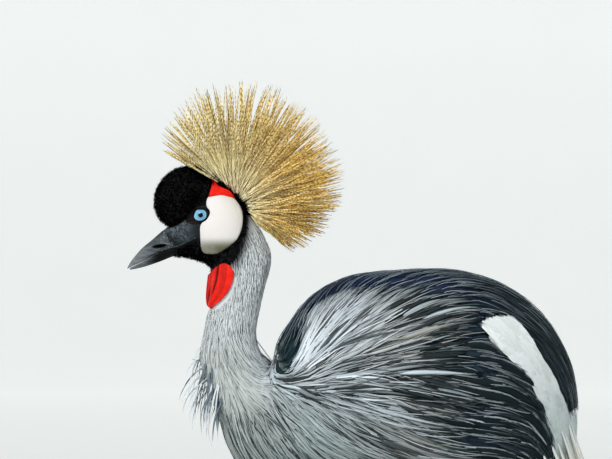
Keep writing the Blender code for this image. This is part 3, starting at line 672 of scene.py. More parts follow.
def underTone(place):
    # the skin and the downy layer right over it, which shows between plumes; under the pale plumes its deep
    # slate is partly its own colour and partly painted shade in the gaps
    px, py = inPhoto(place)
    onNeck = 1 - ease(px - 0.55 * np.maximum(py - 345, 0), 264, 278)
    tone = toneMix("deep", "slate", ease(py, 300, 420) * 0.6)
    tone = toneMix(tone, toneMix("steel", "slate", 0.45), onNeck * ease(py, 330, 380))
    tone = toneMix(tone, toneMix("neck", "neckDark", 0.2), onNeck * (1 - ease(py, 330, 380)))
    tone = toneMix(tone, mantleTone(place), (1 - silverShare(place)) * (1 - onNeck))
    tone = toneMix(tone, "white", ease(insideBy(place, "whiteBand"), -1 * mm, 2 * mm))
    return toneMix(tone, "black", hoodShare(place))


# skin

skinShape = {
    "sides": 120, "headRows": 84, "bodyRows": 150,
    "depthAt": (0, 5.6, 6.4, 9, 12, 24), "depth": (1.4, 1.6, 2.0, 2.4, 4.2, 4.2),
    "cushionCentre": (-218, 0, 721), "cushionRadii": (28.6, 18.6, 33.6), "cushionLean": 30,
    "rump": ((10, 0.9), (22, 0.7), (34, 0.4), (42, 0.0)),
    "thighLine": ((22, 40, 430), (22, 40.7, 381), (22, 41.4, 332), (22, 42, 298), (22, 42, 283)),
    "thighRadii": (30, 26, 16.5, 9.5, 7.0),
}


def limb(name, line, radii, rows, sides, facing, relief=None):
    # a round limb through points in mm, its first column on the side that faces the given way
    line, radii = np.array(line, float) * mm, np.array(radii, float)[:, None] * mm
    t = np.linspace(0, len(line) - 1, rows)
    centre, radius = rowAt(line, t), np.maximum(rowAt(radii, t), 0.0002)
    ahead = unit(np.gradient(centre, axis=0))
    aside = unit(np.cross(ahead, np.array(facing, float)))
    front = np.cross(aside, ahead)
    turn = fullTurn(sides)
    travel = np.concatenate([[0], np.cumsum(np.linalg.norm(np.diff(centre, axis=0), axis=1))])
    lift = relief(travel[:, None], turn[None, :]) if relief else 0
    reach = radius + lift
    points = (centre[:, None] + front[:, None] * (np.cos(turn)[None, :] * reach)[..., None]
              + aside[:, None] * (np.sin(turn)[None, :] * reach)[..., None])
    points = np.concatenate([np.repeat(centre[:1, None], sides + 1, 1), points,
                             np.repeat(centre[-1:, None], sides + 1, 1)])
    return wrapSheet(name, points)


def makeSkin():
    shape = skinShape
    turn = fullTurn(shape["sides"])
    headU = np.linspace(0, 6, shape["headRows"])[:-1]
    bodyU = np.linspace(0, 18, shape["bodyRows"])
    parts = []
    for rows, u, start in ((headRows, headU, 0), (bodyRows, bodyU, 6)):
        place, along, around, normal = skinFrame(rows, *np.meshgrid(u, turn, indexing="ij"))
        depth = np.interp(u + start, shape["depthAt"], shape["depth"])[:, None] * mm
        bare = ease(insideBy(place, "bareFace"), -0.5 * mm, 2 * mm)
        parts.append(place - normal * (depth * (1 - 0.85 * bare))[..., None])
    points = np.concatenate(parts)
    front = points[:1].mean(1, keepdims=True)
    nose = front + (points[:1] - front) * 0.7 - np.array([2 * mm, 0, 0])
    axis = unit(rumpAxis)
    rumpMiddle = points[-1:].mean(1, keepdims=True)
    rump = [rumpMiddle + (points[-1:] - rumpMiddle) * share + axis * reach * mm
            for reach, share in shape["rump"]]
    tipRow = np.repeat(front - np.array([2 * mm, 0, 0]), points.shape[1], 1)
    skin = wrapSheet("skin", np.concatenate([tipRow, nose, points, *rump]))
    clearSelection()
    bpy.ops.mesh.primitive_uv_sphere_add(segments=72, ring_count=48, radius=1,
                                         location=np.array(shape["cushionCentre"]) * mm,
                                         rotation=(0, math.radians(shape["cushionLean"]), 0),
                                         scale=np.array(shape["cushionRadii"]) * mm)
    cushion = bpy.context.object
    bpy.ops.object.transform_apply(location=True, rotation=True, scale=True)
    thighs = []
    for side in (left, right):
        line = [(x, -side * y, z) for x, y, z in shape["thighLine"]]
        thighs.append(limb("thigh", line, shape["thighRadii"], 40, 40, (-1, 0, 0)))
    joinSolids(skin, [cushion, *thighs])
    pick(skin)
    bpy.ops.object.shade_smooth_by_angle(angle=math.radians(60))
    co = corners(skin)
    z = co[:, 2]
    bare = ease(insideBy(co, "bareFace"), 0, 1.5 * mm)
    tone = toneMix(underTone(co), "bareSlate", bare)
    onThigh = (z < 0.372) | ((np.abs(co[:, 1]) < 0.075) & (z < 0.4))
    tone[onThigh] = tones["steel"] * 0.5
    paintPoints(skin, "centre", tone)
    paintPoints(skin, "bare", np.repeat(bare[:, None], 3, 1))
    settle(skin, finishes["skin"], "plume_grey", "head", "neck_upper", "neck_lower", "torso", "thigh_left",
           "thigh_right")
    return skin


skin = makeSkin()
skinTree = BVHTree.FromObject(skin, bpy.context.evaluated_depsgraph_get())
print("skin made,", len(skin.data.polygons), "faces")


def onSkin(x, z, side):
    # where a profile place meets the skin on one side of the bird, and the skin's normal there
    places, normals = np.empty((*x.shape, 3)), np.empty((*x.shape, 3))
    for index in np.ndindex(x.shape):
        start = Vector((x[index], -side * 0.2, z[index]))
        hit, normal = skinTree.ray_cast(start, Vector((0, side, 0)))[:2]
        if hit is None:
            hit, normal = skinTree.find_nearest(Vector((x[index], -side * 0.004, z[index])))[:2]
        places[index], normals[index] = hit, normal
    return places, normals


# bare cheeks, red brows, lids and eyes

facePatches = {
    "cheek": {"centre": (221, 225), "rings": 22, "points": 160, "lift": 2.6, "puff": 0.42, "finish": "cheek",
              "slot": "skin_white"},
    "brow": {"centre": (216.5, 191.5), "rings": 12, "points": 110, "lift": 1.9, "puff": 0.35, "finish": "red",
             "slot": "skin_red"},
}


def makeFacePatch(kind, side):
    # a plump patch with the outline of the photograph, laid on the side of the head
    patch = facePatches[kind]
    rim = np.array([spot(*p) for p in closedLine(outlines[kind], patch["points"])])
    centre = spot(*patch["centre"])
    share = np.concatenate([[0.0], np.linspace(0.12, 1, patch["rings"]) ** 0.8, [1.01, 0.99]])
    flat = centre + (rim[None] - centre) * share[:, None, None]
    places, normals = onSkin(flat[..., 0], flat[..., 1], side)
    normals = unit(normals + unit(np.array([0, -side * 1.0, 0])) * 0.6)
    lift = (0.5 + patch["lift"] * np.clip(1 - share**2, 0, 1) ** patch["puff"]) * mm
    lift[-2:] = -1.0 * mm, -2.2 * mm
    points = places + normals * lift[:, None, None]
    points[0] = points[0].mean(0)
    under = points[-1:].mean(1, keepdims=True) + np.array([0, side * 3 * mm, 0])
    points = np.concatenate([points, points[-1:] * 0.5 + under * 0.5, np.repeat(under, points.shape[1], 1)])
    points = np.concatenate([points, points[:, :1]], 1)
    name = sided(kind, side)
    piece = wrapSheet(sided(kind + "Skin", side), points)
    settle(piece, finishes[patch["finish"]], patch["slot"], name)


lidShape = {
    "profile": ((0.96, -3.0), (0.96, 0.15), (1.03, 0.95), (1.10, 1.25), (1.24, 1.0), (1.34, 0.75),
                (1.48, 0.3),
                (1.62, -0.6), (1.5, -3.0)),  # share of the opening, height over the skin in mm
    "points": 96,
}


def makeEye(side):
    centre = spot(eyeSpot["x"], eyeSpot["z"])
    place, normal = (v[0] for v in onSkin(centre[:1], centre[1:], side))
    outward = unit(normal * 0.35 + np.array([0, -side, 0]))
    middle = place - outward * eyeSpot["sunk"] * mm
    clearSelection()
    turn = Vector(outward).to_track_quat("Z", "X").to_euler()
    bpy.ops.mesh.primitive_uv_sphere_add(segments=64, ring_count=48, radius=eyeSpot["radius"] * mm,
                                         location=middle, rotation=turn)
    eye = bpy.context.object
    eye.name = sided("eyeball", side)
    bpy.ops.object.transform_apply(location=True, rotation=True, scale=True)
    # the clear cornea stands a little proud of the ball
    co = corners(eye)
    away = (co - middle) @ outward
    rim, top, proud = eyeSpot["cornea"]
    bulge = ease(away, rim * mm, top * mm) * proud * mm
    eye.data.vertices.foreach_set("co", (co + outward * bulge[:, None]).ravel())
    pick(eye)
    bpy.ops.object.shade_smooth()
    settle(eye, finishes["eye"], "eye_blue", sided("eye", side))
    turns = np.linspace(0, math.tau, lidShape["points"], endpoint=False)
    tilt = math.radians(eyeSpot["tilt"])
    # the opening comes to a soft corner in front and behind
    corner = 1 + 0.10 * np.abs(np.cos(turns)) ** 8
    ovalX = np.cos(turns) * eyeSpot["wide"] * corner
    ovalZ = np.sin(turns) * eyeSpot["high"]
    x = (ovalX * math.cos(tilt) - ovalZ * math.sin(tilt)) * mm
    z = (ovalX * math.sin(tilt) + ovalZ * math.cos(tilt)) * mm
    rows = []
    for share, height in lidShape["profile"]:
        share = share + max(share - 1.1, 0) * 1.5 * np.clip(-np.cos(turns + 0.25), 0, 1)
        places, normals = onSkin(centre[0] + x * share, centre[1] + z * share, side)
        normals = unit(normals + np.array([0, -side * 1.2, 0]))
        fold = 0.25 * np.sin(turns * 2 + 0.6) if height > 0.5 else 0
        rows.append(places + normals * (np.atleast_1d(height + fold) * mm)[:, None])
    rows.append(rows[0])
    points = np.stack(rows)
    # the inner edge follows the ball
    reach = unit(points[1] - middle)
    inner, outer = (eyeSpot["radius"] + gap for gap in eyeSpot["lidGap"])
    points[1] = middle + reach * inner * mm
    points[2] = points[2] * 0.5 + (middle + unit(points[2] - middle) * outer * mm) * 0.5
    points = np.concatenate([points, points[:, :1]], 1)
    lid = wrapSheet(sided("eyelids", side), points)
    settle(lid, finishes["lid"], "velvet_black")


for side in (left, right):
    for kind in facePatches:
        makeFacePatch(kind, side)
    makeEye(side)
print("cheeks, brows and eyes made")


# bill

billShape = {
    "upper": ((-228.5, 668.5, -229, 691, 10.5), (-230.8, 667.8, -236.5, 689, 9.6),
              (-242.5, 664, -251.5, 676.2, 7.4), (-257.5, 655.5, -264, 665.2, 4.8),
              (-270, 649.5, -273, 654.4, 2.4), (-277, 645.9, -277.4, 647.2, 0.7)),
    "lower": ((-224, 659, -224, 668, 9.6), (-228.5, 659, -230.7, 667.4, 8.8),
              (-242.5, 653.5, -242.5, 663.6, 6.4), (-257.5, 648.4, -257.5, 655.1, 4.0),
              (-269, 645.6, -269.5, 649.2, 1.9), (-274.5, 644.6, -274.6, 646.6, 0.7)),
    "nostrilReach": (7.6, 2.0), "nostrilDepth": 3.4,
    "rows": 110, "sides": 88, "gape": ((-231, 667.6), (-222, 670.2), (-213, 674.2), (-204, 678.6)),
}


def makeBill(which):
    shape = billShape
    share = 0.2 if which == "upper" else 0.8
    rows = mm * np.array([(lx, lz, hx, hz, lx + (hx - lx) * share, lz + (hz - lz) * share, w)
                          for lx, lz, hx, hz, w in shape[which]])
    u = np.linspace(0, len(rows) - 1, shape["rows"])
    turn = fullTurn(shape["sides"])
    place, along, around, normal = skinFrame(rows, *np.meshgrid(u, turn, indexing="ij"))
    x, z = place[..., 0], place[..., 2]
    lift = np.zeros(x.shape)
    if which == "upper":
        alongSlot, acrossSlot = slotPlace(x, z)
        long, high = shape["nostrilReach"]
        reach = (alongSlot / (long * mm)) ** 2 + (acrossSlot / (high * mm)) ** 2
        lift -= shape["nostrilDepth"] * np.exp(-(reach**1.4)) * (np.abs(normal[..., 1]) > 0.2)
        lift += 0.35 * np.exp(-((reach - 2.1) ** 2) / 0.8)
        # the long hollow that the nostril lies in, and the swell of the base above it
        hollow = (alongSlot / (17 * mm)) ** 2 + ((acrossSlot - 0.4 * mm) / (4.2 * mm)) ** 2
        lift -= 0.8 * np.exp(-hollow)
        lift += 0.3 * np.sin(x / mm * 2.1 + 3 * np.sin(z / mm * 0.8)) * ease(x, -0.247, -0.236)
    else:
        lift -= 0.5 * np.exp(-(((turn[None] % math.pi) - math.pi / 2) ** 2) / 0.02) * ease(x, -0.262, -0.245)
    points = place + normal * (lift * mm)[..., None]
    ends = [np.repeat(points[k:k + 1 or None].mean(1, keepdims=True), points.shape[1], 1) for k in (0, -1)]
    ends[1] = ends[1] + np.array([-0.4 * mm, 0, -0.1 * mm])
    piece = wrapSheet("bill" + which.capitalize(), np.concatenate([ends[0], points, ends[1]]))
    settle(piece, finishes["bill"], "bill_slate", "bill_" + which)


def makeGape(side):
    # the corner of the mouth: a thin fold from the bill to under the eye
    line = rowAt(np.array(billShape["gape"]) * mm, np.linspace(0, 3, 30))
    places, normals = onSkin(line[:, 0], line[:, 1], side)
    for lip, lower, thick, finish in (("upperLip", 0.4, 0.6, "bill"), ("mouthLine", -0.35, 0.5, "lid"),
                                      ("lowerLip", -1.3, 0.9, "lid")):
        points = (places + normals * 0.0001) / mm
        points[:, 2] += lower
        radii = thick * np.sin(np.linspace(0.5, math.pi - 0.15, 30)) ** 0.5
        fold = limb(sided(lip, side), points, radii, 60, 14, (0, -side, 0))
        settle(fold, finishes[finish], "bill_slate")


makeBill("upper")
makeBill("lower")
for side in (left, right):
    makeGape(side)
print("bill made")


# wattle

wattleShape = {"rows": 70, "columns": 150, "sunk": 2.5, "folds": 0.8, "full": 1.6, "fall": 2.0}


def makeWattle():
    shape = wattleShape
    t, v = np.meshgrid(np.linspace(0, 1, shape["rows"]), np.linspace(0, 1, shape["columns"]), indexing="ij")
    s = 2 * v - 1
    top, bottom = 0.36 - 0.2 * s**2 + 0.7 * s**6, 1.60 + 0.16 * s * s
    angle = math.pi + s * np.radians(78 - 20 * t * t - 32 * t**7)
    rim = np.sin(math.pi * v) ** 0.45
    full = np.sin(math.pi * np.clip(0.1 + 0.86 * t, 0, 1)) ** 0.8
    away = np.abs(s)
    fold = shape["folds"] * np.sin(math.tau * (2.1 * away + 0.05 * np.sin(4 * t)) + 0.6)
    creases = (np.exp(-(((away - 0.34 + 0.12 * t) / 0.05) ** 2)) * ease(t, 0.3, 0.7)
               + 0.8 * np.exp(-(((away - 0.62 + 0.2 * t) / 0.045) ** 2)) * (1 - ease(t, 0.5, 0.95))
               + 0.6 * np.exp(-(((away - 0.12) / 0.04) ** 2)))
    lift = (0.2 + (shape["full"] + shape["fall"] * t**2 + fold - 2.1 * creases) * rim * full) * mm
    u = top + (bottom - top) * t
    place, along, around, normal = skinFrame(bodyRows, u, angle)
    outer = place + normal * lift[..., None]
    inner = place - normal * shape["sunk"] * mm
    # outer face, over the lower rim and back up the inner one, closed at both ends
    sheet = np.concatenate([outer, inner[::-1], outer[:1]])
    middle = sheet.shape[0] // 2
    endOne = np.repeat(((outer[:, :1] + inner[:, :1]) / 2).mean(0, keepdims=True), sheet.shape[0], 0)
    endTwo = np.repeat(((outer[:, -1:] + inner[:, -1:]) / 2).mean(0, keepdims=True), sheet.shape[0], 0)
    wattle = wrapSheet("throatWattle", np.concatenate([endOne, sheet, endTwo], 1))
    # the creases and fold hollows are painted dark as shade; they are found again by place, as the merge
    # reorders corners
    co = corners(wattle)
    near = KDTree(len(outer.reshape(-1, 3)))
    for index, point in enumerate(outer.reshape(-1, 3)):
        near.insert(point, index)
    near.balance()
    depth = (1.3 * creases + 0.3 * (fold < -0.4)).ravel()
    shade = np.array([depth[near.find(point)[1]] for point in co])
    paintPoints(wattle, "crease", np.repeat(np.clip(shade, 0, 1)[:, None], 3, 1))
    settle(wattle, finishes["red"], "skin_red", "wattle")


makeWattle()
print("wattle made")


# feathers

hair = ((-1, 0), (0, 1), (1, 0))
vaneSection = ((-1, 0), (-0.5, 0.8), (0, 1), (0.5, 0.8), (1, 0), (0, -0.5))
tally = {}


def growMesh(name, coat, section=hair):
    # closed tapered vanes: one ring of the section at each point but the last, which is the tip
    path, normal, half, rise = coat["path"], coat["normal"], coat["half"], coat["rise"]
    count, points = path.shape[:2]
    ahead = unit(np.gradient(path, axis=1))
    across = unit(np.cross(ahead, normal))
    up = np.cross(across, ahead)
    section = np.array(section, float)
    corner = len(section)
    rings = points - 1
    ring = (path[:, :-1, None] + across[:, :-1, None] * half[:, :-1, None, None] * section[:, :1]
            + up[:, :-1, None] * rise[:, :-1, None, None] * section[:, 1:])
    co = np.concatenate([ring.reshape(count, -1, 3), path[:, -1:]], 1)
    each = rings * corner + 1
    faces = []
    for k in range(rings - 1):
        for j in range(corner):
            a, b = k * corner + j, k * corner + (j + 1) % corner
            faces += [(a, b, b + corner), (a, b + corner, a + corner)]
    last = (rings - 1) * corner
    faces += [(last + j, last + (j + 1) % corner, each - 1) for j in range(corner)]
    faces += [(0, j + 1, j) for j in range(1, corner - 1)]
    faces = (np.array(faces)[None] + (np.arange(count) * each)[:, None, None]).reshape(-1)
    along = np.concatenate([np.repeat(np.linspace(0, 1, points)[:-1], corner), [1.0]])
    aside = np.concatenate([np.tile(section[:, 0], rings), [0.0]])
    mesh = bpy.data.meshes.new(name)
    mesh.vertices.add(count * each)
    mesh.vertices.foreach_set("co", co.astype(np.float32).ravel())
    mesh.loops.add(len(faces))
    mesh.loops.foreach_set("vertex_index", faces.astype(np.int32))
    mesh.polygons.add(len(faces) // 3)
    mesh.polygons.foreach_set("loop_start", np.arange(0, len(faces), 3, dtype=np.int32))
    mesh.update(calc_edges=True)
    piece = bpy.data.objects.new(name, mesh)
    bpy.context.scene.collection.objects.link(piece)
    share = along[None, :, None] ** coat.get("fade", 1.0)
    for layer, (rootTone, tipTone) in (("centre", coat["centre"]), ("edging", coat["edging"])):
        tone = blendTo(rootTone[:, None], tipTone[:, None], share)
        paintPoints(piece, layer, tone.reshape(-1, 3))
    vane = np.stack(np.broadcast_arrays(along[None], aside[None], coat["chance"][:, None]), -1)
    layer = mesh.attributes.new("vane", "FLOAT_VECTOR", "POINT")
    layer.data.foreach_set("vector", vane.astype(np.float32).ravel())
    # each feather is a small patch at its root's place on the unwrapped skin
    patch = np.stack([0.0015 * aside, 0.003 * (along - 0.5)], -1)
    uv = (coat["unwrap"][:, None] * 0.99 + 0.005 + patch[None]).reshape(-1, 2)
    mesh.uv_layers.new(name="OFBake").data.foreach_set("uv", uv[faces].astype(np.float32).ravel())
    tally[name] = len(faces) // 3
    return piece


def scatter(rows, count, span, around, draw, weight=None):
    # even random roots over a form: span along it, around it in degrees
    cellsU, cellsA = 110, 150
    u = np.linspace(*span, cellsU + 1)
    a = np.radians(np.linspace(*around, cellsA + 1))
    cu, ca = np.meshgrid((u[1:] + u[:-1]) / 2, (a[1:] + a[:-1]) / 2, indexing="ij")
    place, along, round_, normal = skinFrame(rows, cu, ca)
    area = np.linalg.norm(np.cross(along, round_), axis=-1)
    if weight is not None:
        area = area * weight(place, cu, ca)
    total = np.cumsum(area.ravel())
    chosen = np.searchsorted(total, (np.arange(count) + draw.random(count)) / count * total[-1])
    chosen = np.minimum(chosen, total.size - 1)
    return (cu.ravel()[chosen] + (draw.random(count) - 0.5) * (u[1] - u[0]),
            ca.ravel()[chosen] + (draw.random(count) - 0.5) * (a[1] - a[0]))


# strokes of a comb over neck and body: the place in the photograph's pixels and the lie in degrees
lieStrokes = np.array([
    (246, 235, -75), (262, 245, -76), (240, 265, -84), (262, 272, -86), (250, 295, -94), (228, 290, -95),
    (215, 320, -100), (240, 320, -98), (258, 325, -92), (208, 345, -96), (215, 345, -86), (230, 345, -76),
    (250, 350, -68), (205, 365, -86), (225, 370, -68), (245, 370, -60), (262, 378, -45), (272, 385, -38),
    (281, 378, -20), (257, 342, -82), (263, 352, -68), (269, 361, -52), (275, 370, -34), (208, 385, -78),
    (215, 400, -72), (225, 385, -64), (225, 420, -67), (240, 400, -60),
    (240, 430, -62), (222, 445, -70), (245, 455, -62), (260, 420, -56), (270, 400, -52), (280, 430, -52),
    (270, 455, -55), (300, 450, -48), (200, 480, -70), (240, 490, -58), (300, 490, -44),
    (289, 369, 28), (296, 366, 46), (302, 361, 62), (307, 350, 76), (300, 369, 30), (312, 366, 34),
    (299, 345, 88), (297, 334, 100), (300, 322, 106), (276, 352, 108), (280, 335, 102), (290, 320, 102),
    (300, 305, 106), (312, 298, 99), (322, 292, 92), (335, 287, 86), (350, 280, 76), (370, 276, 64),
    (390, 274, 56), (410, 274, 48), (430, 274, 38), (450, 278, 24), (470, 288, 4), (490, 300, -16),
    (296, 350, 74), (305, 335, 79), (315, 320, 77), (325, 310, 73), (340, 300, 67), (360, 295, 59),
    (380, 290, 53), (400, 290, 46), (420, 290, 38), (440, 292, 28), (455, 298, 17), (300, 360, 58),
    (320, 340, 55), (340, 325, 50), (360, 315, 46), (380, 310, 42), (400, 310, 36), (420, 315, 30),
    (440, 315, 24), (460, 320, 14), (475, 325, 6), (330, 355, 38), (350, 345, 33), (370, 338, 30),
    (390, 335, 26), (410, 335, 22), (430, 338, 17), (450, 342, 12), (470, 345, 4), (320, 368, 15),
    (345, 365, 12), (370, 362, 9), (400, 360, 6), (430, 362, 2), (455, 366, -3), (480, 362, -8),
    (500, 345, -24), (520, 360, -34), (300, 379, -9), (330, 380, -4), (360, 382, -2), (400, 382, -6),
    (430, 385, -10), (460, 388, -10), (490, 385, -6), (515, 380, -22), (536, 390, -48), (300, 392, -32),
    (330, 398, -26), (360, 402, -22), (400, 405, -16), (430, 410, -14), (460, 412, -8), (490, 410, -2),
    (520, 407, -14), (540, 420, -46), (290, 405, -45), (310, 415, -42), (340, 425, -34), (370, 432, -28),
    (400, 440, -24), (440, 440, -16), (480, 440, -8), (515, 440, -16), (540, 450, -46), (550, 440, -60),
    (350, 470, -36), (350, 505, -24), (400, 490, -16), (450, 500, -8), (520, 490, -14), (540, 500, -50),
    (505, 300, -34), (520, 320, -44), (530, 335, -52), (545, 360, -58), (558, 385, -66), (570, 400, -76),
    (570, 440, -80), (580, 450, -84), (560, 470, -78), (570, 520, -84),
])


strokeBlur = 10


def bodyLie(place, turn):
    # the way a feather at each place lies, from the nearest comb strokes
    px, py = inPhoto(place)
    gap = (px[:, None] - lieStrokes[:, 0]) ** 2 + (py[:, None] - lieStrokes[:, 1]) ** 2 + strokeBlur
    weight = gap**-1.6
    way = np.radians(lieStrokes[:, 2])
    angle = np.arctan2((weight * np.sin(way)).sum(1), (weight * np.cos(way)).sum(1)) + turn
    return profileWay(angle)


freeDroop = np.array([0.02, 0, -0.25])


def profileWay(angle):
    # a way in the side view
    return np.stack([np.cos(angle), np.zeros(len(angle)), np.sin(angle)], -1)


def unwrapAt(u, a, rows=bodyRows):
    return np.stack([u / (len(rows) - 1), (a / math.tau + 0.5) % 1], -1)


def comb(rows, u, a, lie, turn, length, points, lift, shift=(0, 0, 0), trim=None):
    # paths over a form in the lie of the coat, each point lifted off the skin
    u, a = u.copy(), a.copy()
    path, normals = [], []
    step = (length / (points - 1))[:, None]
    free = np.zeros(len(u), bool)
    here, ahead = None, None
    for k in range(points):
        place, along, around, normal = skinFrame(rows, u, a)
        way = lie(place + np.array(shift), turn * (0.4 + 0.6 * k / points))
        way = unit(way - normal * (way * normal).sum(-1, keepdims=True))
        if k == 0:
            here, heldNormal = place, normal
        else:
            ahead = np.where(free[:, None], unit(ahead + freeDroop), way)
            here = np.where(free[:, None], here + ahead * step, place)
            heldNormal = np.where(free[:, None], heldNormal, normal)
        ahead = way if ahead is None else ahead
        path.append(here + heldNormal * lift[:, k:k + 1])
        normals.append(heldNormal)
        ss, rr = (along**2).sum(-1), (around**2).sum(-1)
        sr = (along * around).sum(-1)
        sw, rw = (along * way).sum(-1), (around * way).sum(-1)
        size = ss * rr - sr**2 + 1e-12
        du = (rr * sw - sr * rw) / size * step[:, 0]
        da = (ss * rw - sr * sw) / size * step[:, 0]
        free = free | (u + du > len(rows) - 1.1) | (np.abs(da) > 0.8)
        u = np.where(free, u, np.clip(u + du, 0, len(rows) - 1))
        a = np.where(free, a, a + da)
    path, normals = np.stack(path, 1), np.stack(normals, 1)
    if trim is not None:
        # feathers stop where the next marking starts
        beyond = trim(path)
        beyond[:, 0] = False
        first = np.where(beyond.any(1), beyond.argmax(1), points)
        share = np.clip((first - 0.7 * (first < points)) / (points - 1), 0.02, 1)
        return path, normals, share
    return path, normals


def taper(points, widest=0.45, root=0.35, sharp=0.75):
    # a lanceolate outline
    t = np.linspace(0, 1, points)
    rise = root + (1 - root) * np.sin(np.clip(t / widest, 0, 1) * math.pi / 2)
    fall = np.cos(np.clip((t - widest) / (1 - widest), 0, 1) * math.pi / 2) ** sharp
    return rise * fall


def swoop(root, control, tip, first, second, points):
    t = np.linspace(0, 1, points)[None, :, None]
    path = root[:, None] * (1 - t) ** 2 + control[:, None] * 2 * t * (1 - t) + tip[:, None] * t**2
    return path, unit(blendTo(first[:, None], second[:, None], t))


def growCoat(name, spec, tone, lie=bodyLie, rows=bodyRows, weight=None, trim=None, keep=None, shift=(0, 0, 0),
             finish="feather", slot="body_slate"):
    draw = np.random.default_rng(spec["seed"])
    count = max(int(spec["count"] * (1)), 8)
    u, a = scatter(rows, count, spec["span"], spec["around"], draw, weight)
    place, along, around, normal = skinFrame(rows, u, a)
    if keep is not None:
        kept = keep(place, u, a)
        u, a, place = u[kept], a[kept], place[kept]
    count, points = len(u), spec["points"]
    chance = draw.random(count)
    size = spec["size"](place, u) if "size" in spec else np.ones(count)
    length = blendTo(*spec["length"], draw.random(count)) * mm * size
    turn = np.radians(spec["stray"]) * draw.normal(size=count)
    layer = blendTo(*spec["layer"], draw.random(count)) * mm
    t = np.linspace(0, 1, points)
    arch = np.interp(t, (0, 0.3, 0.75, 1), spec["arch"])[None] * mm
    lift = layer[:, None] * np.clip(t * 4, 0, 1)[None] + arch
    if trim is not None:
        slack = spec.get("slack", (0, 0))
        early = blendTo(*slack, draw.random(count))[:, None] * mm

        def beyond(spots):
            return trim(spots, early)
        share = comb(rows, u, a, lie, turn, length, points, lift, shift, beyond)[2]
        kept = share > spec.get("least", 0.2)
        length = (length * share * (0.96 + 0.12 * chance))[kept]
        slim = np.clip(share * 1.5, 0.35, 1)[kept]
        u, a, place, chance, turn, lift, layer = (v[kept] for v in (u, a, place, chance, turn, lift, layer))
        count = len(u)
    path, normals = comb(rows, u, a, lie, turn, length, points, lift, shift)
    path = path + np.array(shift)
    if spec.get("gather"):
        # neighbours draw together towards their tips, as damp plumes do
        heads = draw.permutation(count)[:max(count // spec["gather"][0], 1)]
        best, near = np.full(count, 1e9), np.zeros(count, int)
        for block in np.array_split(heads, max(len(heads) // 200, 1)):
            gap = np.linalg.norm(path[:, None, 0] - path[None, block, 0], axis=-1)
            closest = gap.argmin(1)
            better = gap[np.arange(count), closest] < best
            best = np.where(better, gap[np.arange(count), closest], best)
            near = np.where(better, block[closest], near)
        pull = (spec["gather"][1] * (0.4 + 0.6 * draw.random(count)))[:, None, None] * (t**1.3)[None, :, None]
        apart = np.linalg.norm(path[near, -1] - path[:, -1], axis=-1)
        within = ((best < spec["gather"][2] * mm) & (apart < spec["gather"][2] * 3.2 * mm))[:, None, None]
        height = ((path[near] - path) * normals).sum(-1, keepdims=True) * normals
        path = path + (path[near] - path - height) * pull * within
    half = blendTo(*spec["half"], draw.random(count)) * mm
    outline = taper(points, spec.get("widest", 0.45), spec.get("root", 0.35), spec.get("sharp", 0.75))
    half = half[:, None] * outline[None]
    if trim is not None:
        half = half * slim[:, None]
    if "broad" in spec:
        half = half * spec["broad"](place, u)[:, None]
    rise = half * spec.get("crown", 0.35)
    picks = draw.random((count, 6))
    if spec.get("gather"):
        # the feathers of a lock share its tone
        share = np.where(within[:, 0], spec.get("alike", 0.7), 0)
        picks = blendTo(picks, picks[near], share)
    atRoot, atTip = tone(path[:, 0], picks), tone(path[:, -2], picks)
    centre, edging = (atRoot[0], atTip[0]), (atRoot[1], atTip[1])
    coat = {"path": path, "normal": normals, "half": half, "rise": rise, "centre": centre, "edging": edging,
            "chance": chance, "unwrap": unwrapAt(u, a, rows), "fade": spec.get("fade", 1.0)}
    return settle(growMesh(name, coat), finishes[finish], slot)


def jitter(draw, count, amount):
    # each feather a little lighter or darker than its neighbours
    return 1 + amount * (draw.random((count, 1)) * 2 - 1)


def vary(pick, amount):
    return 1 + amount * (pick[:, None] * 2 - 1)


def featherless(place):
    # bare skin and the eye, where no feather grows
    x, z = place[..., 0], place[..., 2]
    eyeX, eyeZ = spot(eyeSpot["x"], eyeSpot["z"])
    eye = np.hypot(x - eyeX, z - eyeZ) < eyeSpot["bare"] * mm
    bare = [insideBy(place, name) > 0 for name in ("bareFace", "cheek", "brow", "wattle")]
    return bare[0] | bare[1] | bare[2] | (bare[3] & (z < 0.655)) | eye


# velvet of the head, short and upright

velvet = {"count": 12200, "length": (2.2, 3.6), "half": (0.26, 0.42), "points": 4, "seed": 5}


